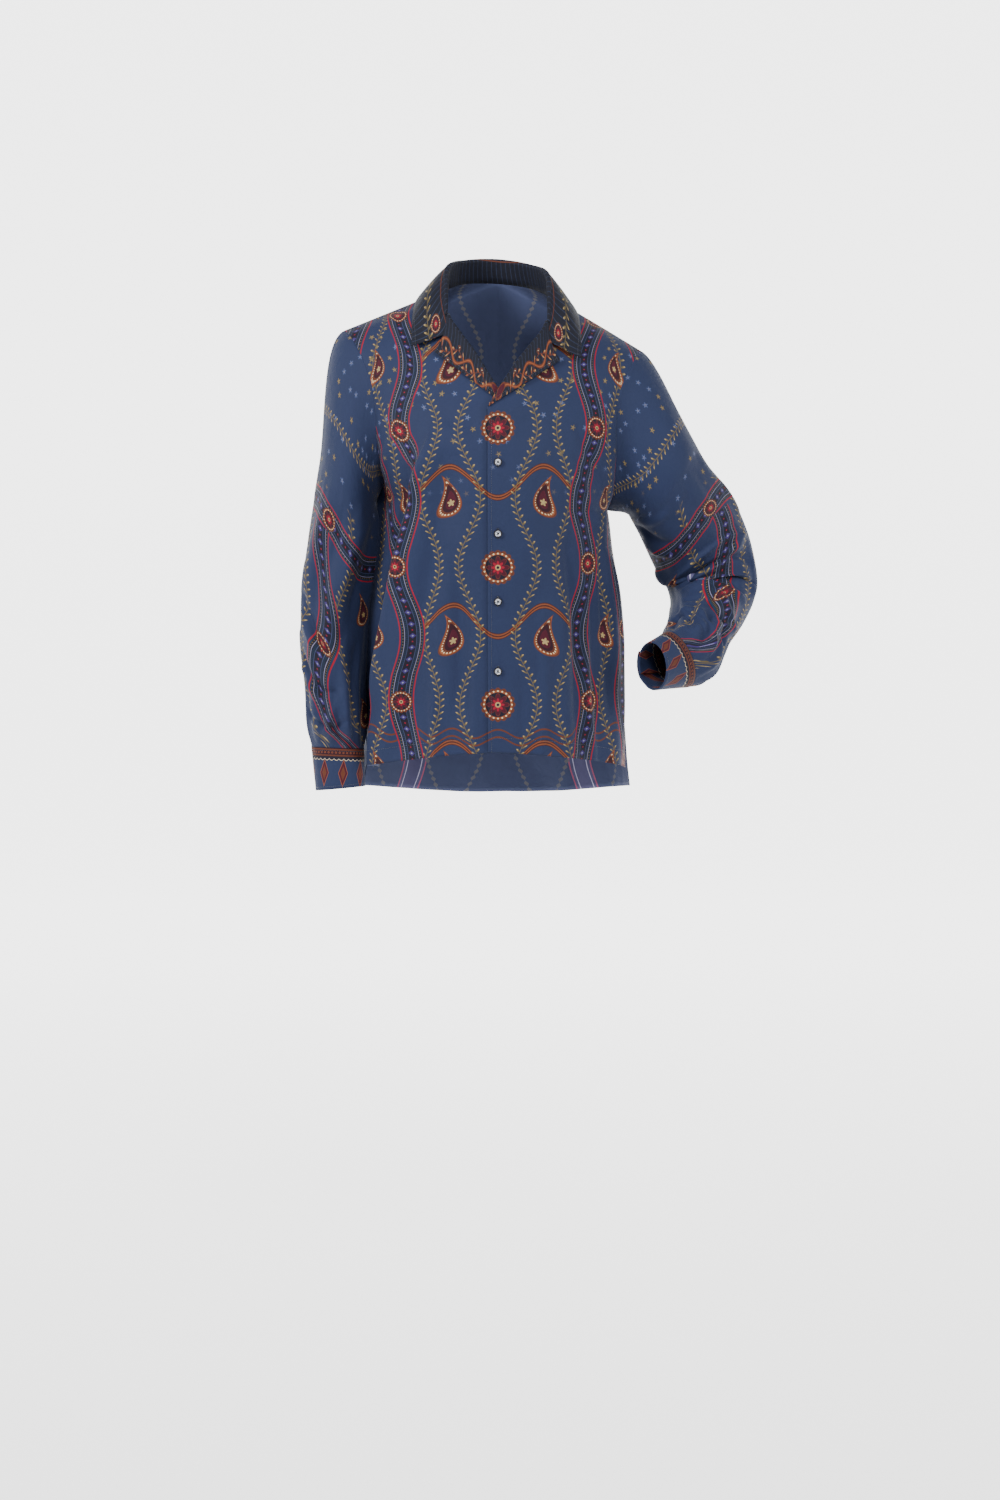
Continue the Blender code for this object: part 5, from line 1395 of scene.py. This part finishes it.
def button_finish(name, middle):
    """A dark rim round a face of pale pearl with clouded layers, painted shade in its well, by the button's
    middle.
    """
    made, shader = material(name, (0.5, 0.5, 0.5), 0.2)
    tree = made.node_tree
    place = object_place(made)
    off = tree.nodes.new("ShaderNodeVectorMath")
    off.operation = "DISTANCE"
    tree.links.new(place, off.inputs[0])
    off.inputs[1].default_value = middle
    far = Field(off.outputs["Value"])
    cloud = noise(place, Scale=420.0, Detail=3.0, Distortion=1.6)
    layers = tree.nodes.new("ShaderNodeValToRGB")
    stops = layers.color_ramp.elements
    stops.new(PEARL[1][0])
    for stop, (position, colour) in zip(stops, PEARL):
        stop.position, stop.color = position, (*colour, 1)
    tree.links.new(cloud.socket, layers.inputs[0])
    rim = (far * -1.0 + BUTTON_RADIUS * RIM_SHARE).inside(RIM_SOFT)
    # Painted shade: the well between the holes is darkened with the rim's colour
    well_shade = (far - BUTTON_WELL_SHADE).inside(RIM_SOFT)
    face = laid_over(tree, layers.outputs[0], RIM_AND_WELL_SHADE, rim)
    tree.links.new(laid_over(tree, face, RIM_AND_WELL_SHADE, well_shade), shader.inputs["Base Color"])
    tree.links.new((cloud * 0.22 + 0.12).socket, shader.inputs["Roughness"])
    shader.inputs["Coat Weight"].default_value = 0.4
    return made


def thread_finish(name, colour):
    """Twisted thread: its tone goes up and down along it."""
    made, shader = material(name, colour, 0.55)
    tone_colour(shader, colour, noise(object_place(made), Scale=2600.0) * 1.1 + 0.45)
    shader.inputs["Sheen Weight"].default_value = 0.3
    return made


def wrong_side():
    """The inside of the body: the border and the vines show through, paler."""
    design = Print("cloth_wrong_side", WRONG_SIDE)
    u, v = abs(design.u), design.v
    sway = ((v - FLOWER_LEVEL) * (2 * math.pi / REPEAT)).cos()
    off = abs(u - 0.130 - sway * 0.010)
    layers = [(WRONG_BAND, off - 0.0172), (WRONG_RED, abs(off - 0.0166) - 0.0010),
              (WRONG_PALE, abs(off - 0.0105) - 0.0006)]
    for reach, way, _ in BODY_VINES[:3]:
        stem = abs(u - reach - sway * way)
        layers.append((WRONG_LEAF, stem - 0.0018 - (v * (2 * math.pi / 0.0088)).sin() * 0.0016))
    design.lay_all(layers)
    return finish_cloth(design)


def light(name, place, aim, size, power):
    """An area light that faces its aim."""
    lamp = bpy.data.lights.new(name, "AREA")
    lamp.shape = "RECTANGLE"
    lamp.size, lamp.size_y = size
    lamp.energy = power
    thing = bpy.data.objects.new(name, lamp)
    thing.location = place
    thing.rotation_euler = (Vector(aim) - Vector(place)).to_track_quat("-Z", "Y").to_euler()
    bpy.context.scene.collection.objects.link(thing)


def white_floor():
    """White paper under light of its own, brighter towards the back and dark in front of the object."""
    made, shader = material("white_floor", (0.35, 0.35, 0.35), 0.9)
    tree = made.node_tree
    where = tree.nodes.new("ShaderNodeNewGeometry")
    split = tree.nodes.new("ShaderNodeSeparateXYZ")
    tree.links.new(where.outputs["Position"], split.inputs[0])
    depth = Field(split.outputs[1])
    near = ((depth + 1.3) / 0.8).most(0.0).least(1.0)
    back = ((depth + 0.5) / 3.5).most(0.0).least(1.0)
    glow = near * FLOOR_GLOW[0] + back * FLOOR_GLOW[1]
    shader.inputs["Emission Color"].default_value = (1.0, 1.0, 1.0, 1.0)
    tree.links.new(glow.socket, shader.inputs["Emission Strength"])
    return made


# Camera: its focal length and sensor height in mm, its place, and how far it looks down
LENS, SENSOR, CAMERA_PLACE, LOOK_DOWN = 85.0, 36.0, (0.0027, -4.78, 0.0243), 7.64
# Strength of the light from all round
SURROUND = 0.50
# Lights: where each stands, where it aims, its width and height, its power in watts
LIGHTS = {
    "key": ((0.8, -3.5, 2.2), (0.0, 0.0, -0.3), (0.8, 0.8), 125.0),
    "fill_right": ((-2.5, -2.2, 1.3), (0.0, 0.0, -0.3), (1.0, 1.2), 185.0),
    "fill_left": ((2.5, -2.2, 0.6), (0.0, 0.0, -0.3), (1.2, 1.6), 66.0),
    "rim_right": ((-2.4, 0.7, 0.2), (-0.2, 0.0, -0.3), (0.8, 2.0), 11.0),
    "rim_left": ((2.5, 0.7, 0.2), (0.3, 0.0, -0.3), (0.8, 2.0), 11.0),
}
# The floor: its level, its nearest edge, half its width, where its back stands, how high that is, and
# the radius of the bend up to it
FLOOR_LEVEL, FLOOR_NEAR, FLOOR_HALF, FLOOR_RUN, FLOOR_HIGH, FLOOR_BEND = -1.51, -6.0, 7.0, 5.0, 4.0, 1.2


def studio():
    """The camera, the lights, and a white floor that bends up behind."""
    lens = bpy.data.cameras.new("camera")
    lens.lens, lens.sensor_fit, lens.sensor_height, lens.clip_end = LENS, "VERTICAL", SENSOR, 60.0
    camera = bpy.data.objects.new("camera", lens)
    camera.location = CAMERA_PLACE
    camera.rotation_euler = (math.radians(90 - LOOK_DOWN), 0.0, 0.0)
    bpy.context.scene.collection.objects.link(camera)
    bpy.context.scene.camera = camera
    world = bpy.data.worlds.new("studio")
    world.use_nodes = True
    background = world.node_tree.nodes["Background"]
    background.inputs["Color"].default_value = (1.0, 1.0, 1.0, 1.0)
    background.inputs["Strength"].default_value = SURROUND
    bpy.context.scene.world = world
    for name, (place, aim, size, power) in LIGHTS.items():
        light(name, place, aim, size, power)
    foot = FLOOR_RUN - FLOOR_BEND
    bend = [(foot + FLOOR_BEND * math.sin(t), FLOOR_BEND - FLOOR_BEND * math.cos(t))
            for t in np.linspace(0.1, 1.57, 12)]
    section = [(FLOOR_NEAR, 0.0), (foot, 0.0), *bend, (FLOOR_RUN, FLOOR_HIGH)]
    points = [(x, y, z + FLOOR_LEVEL) for x in (-FLOOR_HALF, FLOOR_HALF) for y, z in section]
    count = len(section)
    faces = [(k, k + 1, count + k + 1, count + k) for k in range(count - 1)]
    solid("floor", points, faces, white_floor())


# How each piece was cut: width and length of the piece of cloth that it takes, and its flat area
Cut = namedtuple("Cut", "node slot width length area held rests_on")
CUTS = (
    Cut("front_left", "printed_cloth", 0.30, 0.70, 0.160, "hung", ("collar",)),
    Cut("front_right", "printed_cloth", 0.30, 0.70, 0.160, "hung", ("collar",)),
    Cut("back", "printed_cloth", 0.50, 0.74, 0.300, "hung", ("collar",)),
    Cut("sleeve_left", "printed_cloth", 0.45, 0.59, 0.161, "gathered", ("cuff_left",)),
    Cut("sleeve_right", "printed_cloth", 0.44, 0.57, 0.154, "gathered", ("cuff_right",)),
    Cut("collar", "collar_cloth", 0.46, 0.09, 0.038, "folded", ("back",)),
    Cut("cuff_left", "printed_cloth", 0.23, 0.058, 0.012, "hung", ("sleeve_left",)),
    Cut("cuff_right", "printed_cloth", 0.23, 0.058, 0.013, "hung", ("sleeve_right",)),
)

studio()
pieces, seams = build_cloth()
body, collar = body_print(), collar_print()
skins = {"front": body, "back": body, "sleeve": sleeve_print(), "collar": collar, "cuff": cuff_print()}
facings = {"front": collar, "back": body, "sleeve": body, "collar": collar, "cuff": skins["cuff"]}
inside = wrong_side()
for cut in CUTS:
    kind = cut.node.split("_")[0]
    thickness = SHOWN_CUFF if kind == "cuff" else SHOWN_CLOTH
    thing = pieces[cut.node].piece(skins[kind], inside, facings[kind], thickness)
    dress(thing, cut.node)

thread = thread_finish("thread_navy", THREAD_COLOUR)
for name, lines in seams.items():
    thickness = SHOWN_CUFF if "cuff" in name else SHOWN_CLOTH
    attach(sew("blouse_stitches_" + name, lines, thread, thickness), "root")
for name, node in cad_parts.items():
    if "button" in name:
        place = button_place(node)
        node.data.materials.clear()
        node.data.materials.append(button_finish("pearl_" + name, place[0]))
        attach(button_thread("thread_" + name, place, thread), "root")
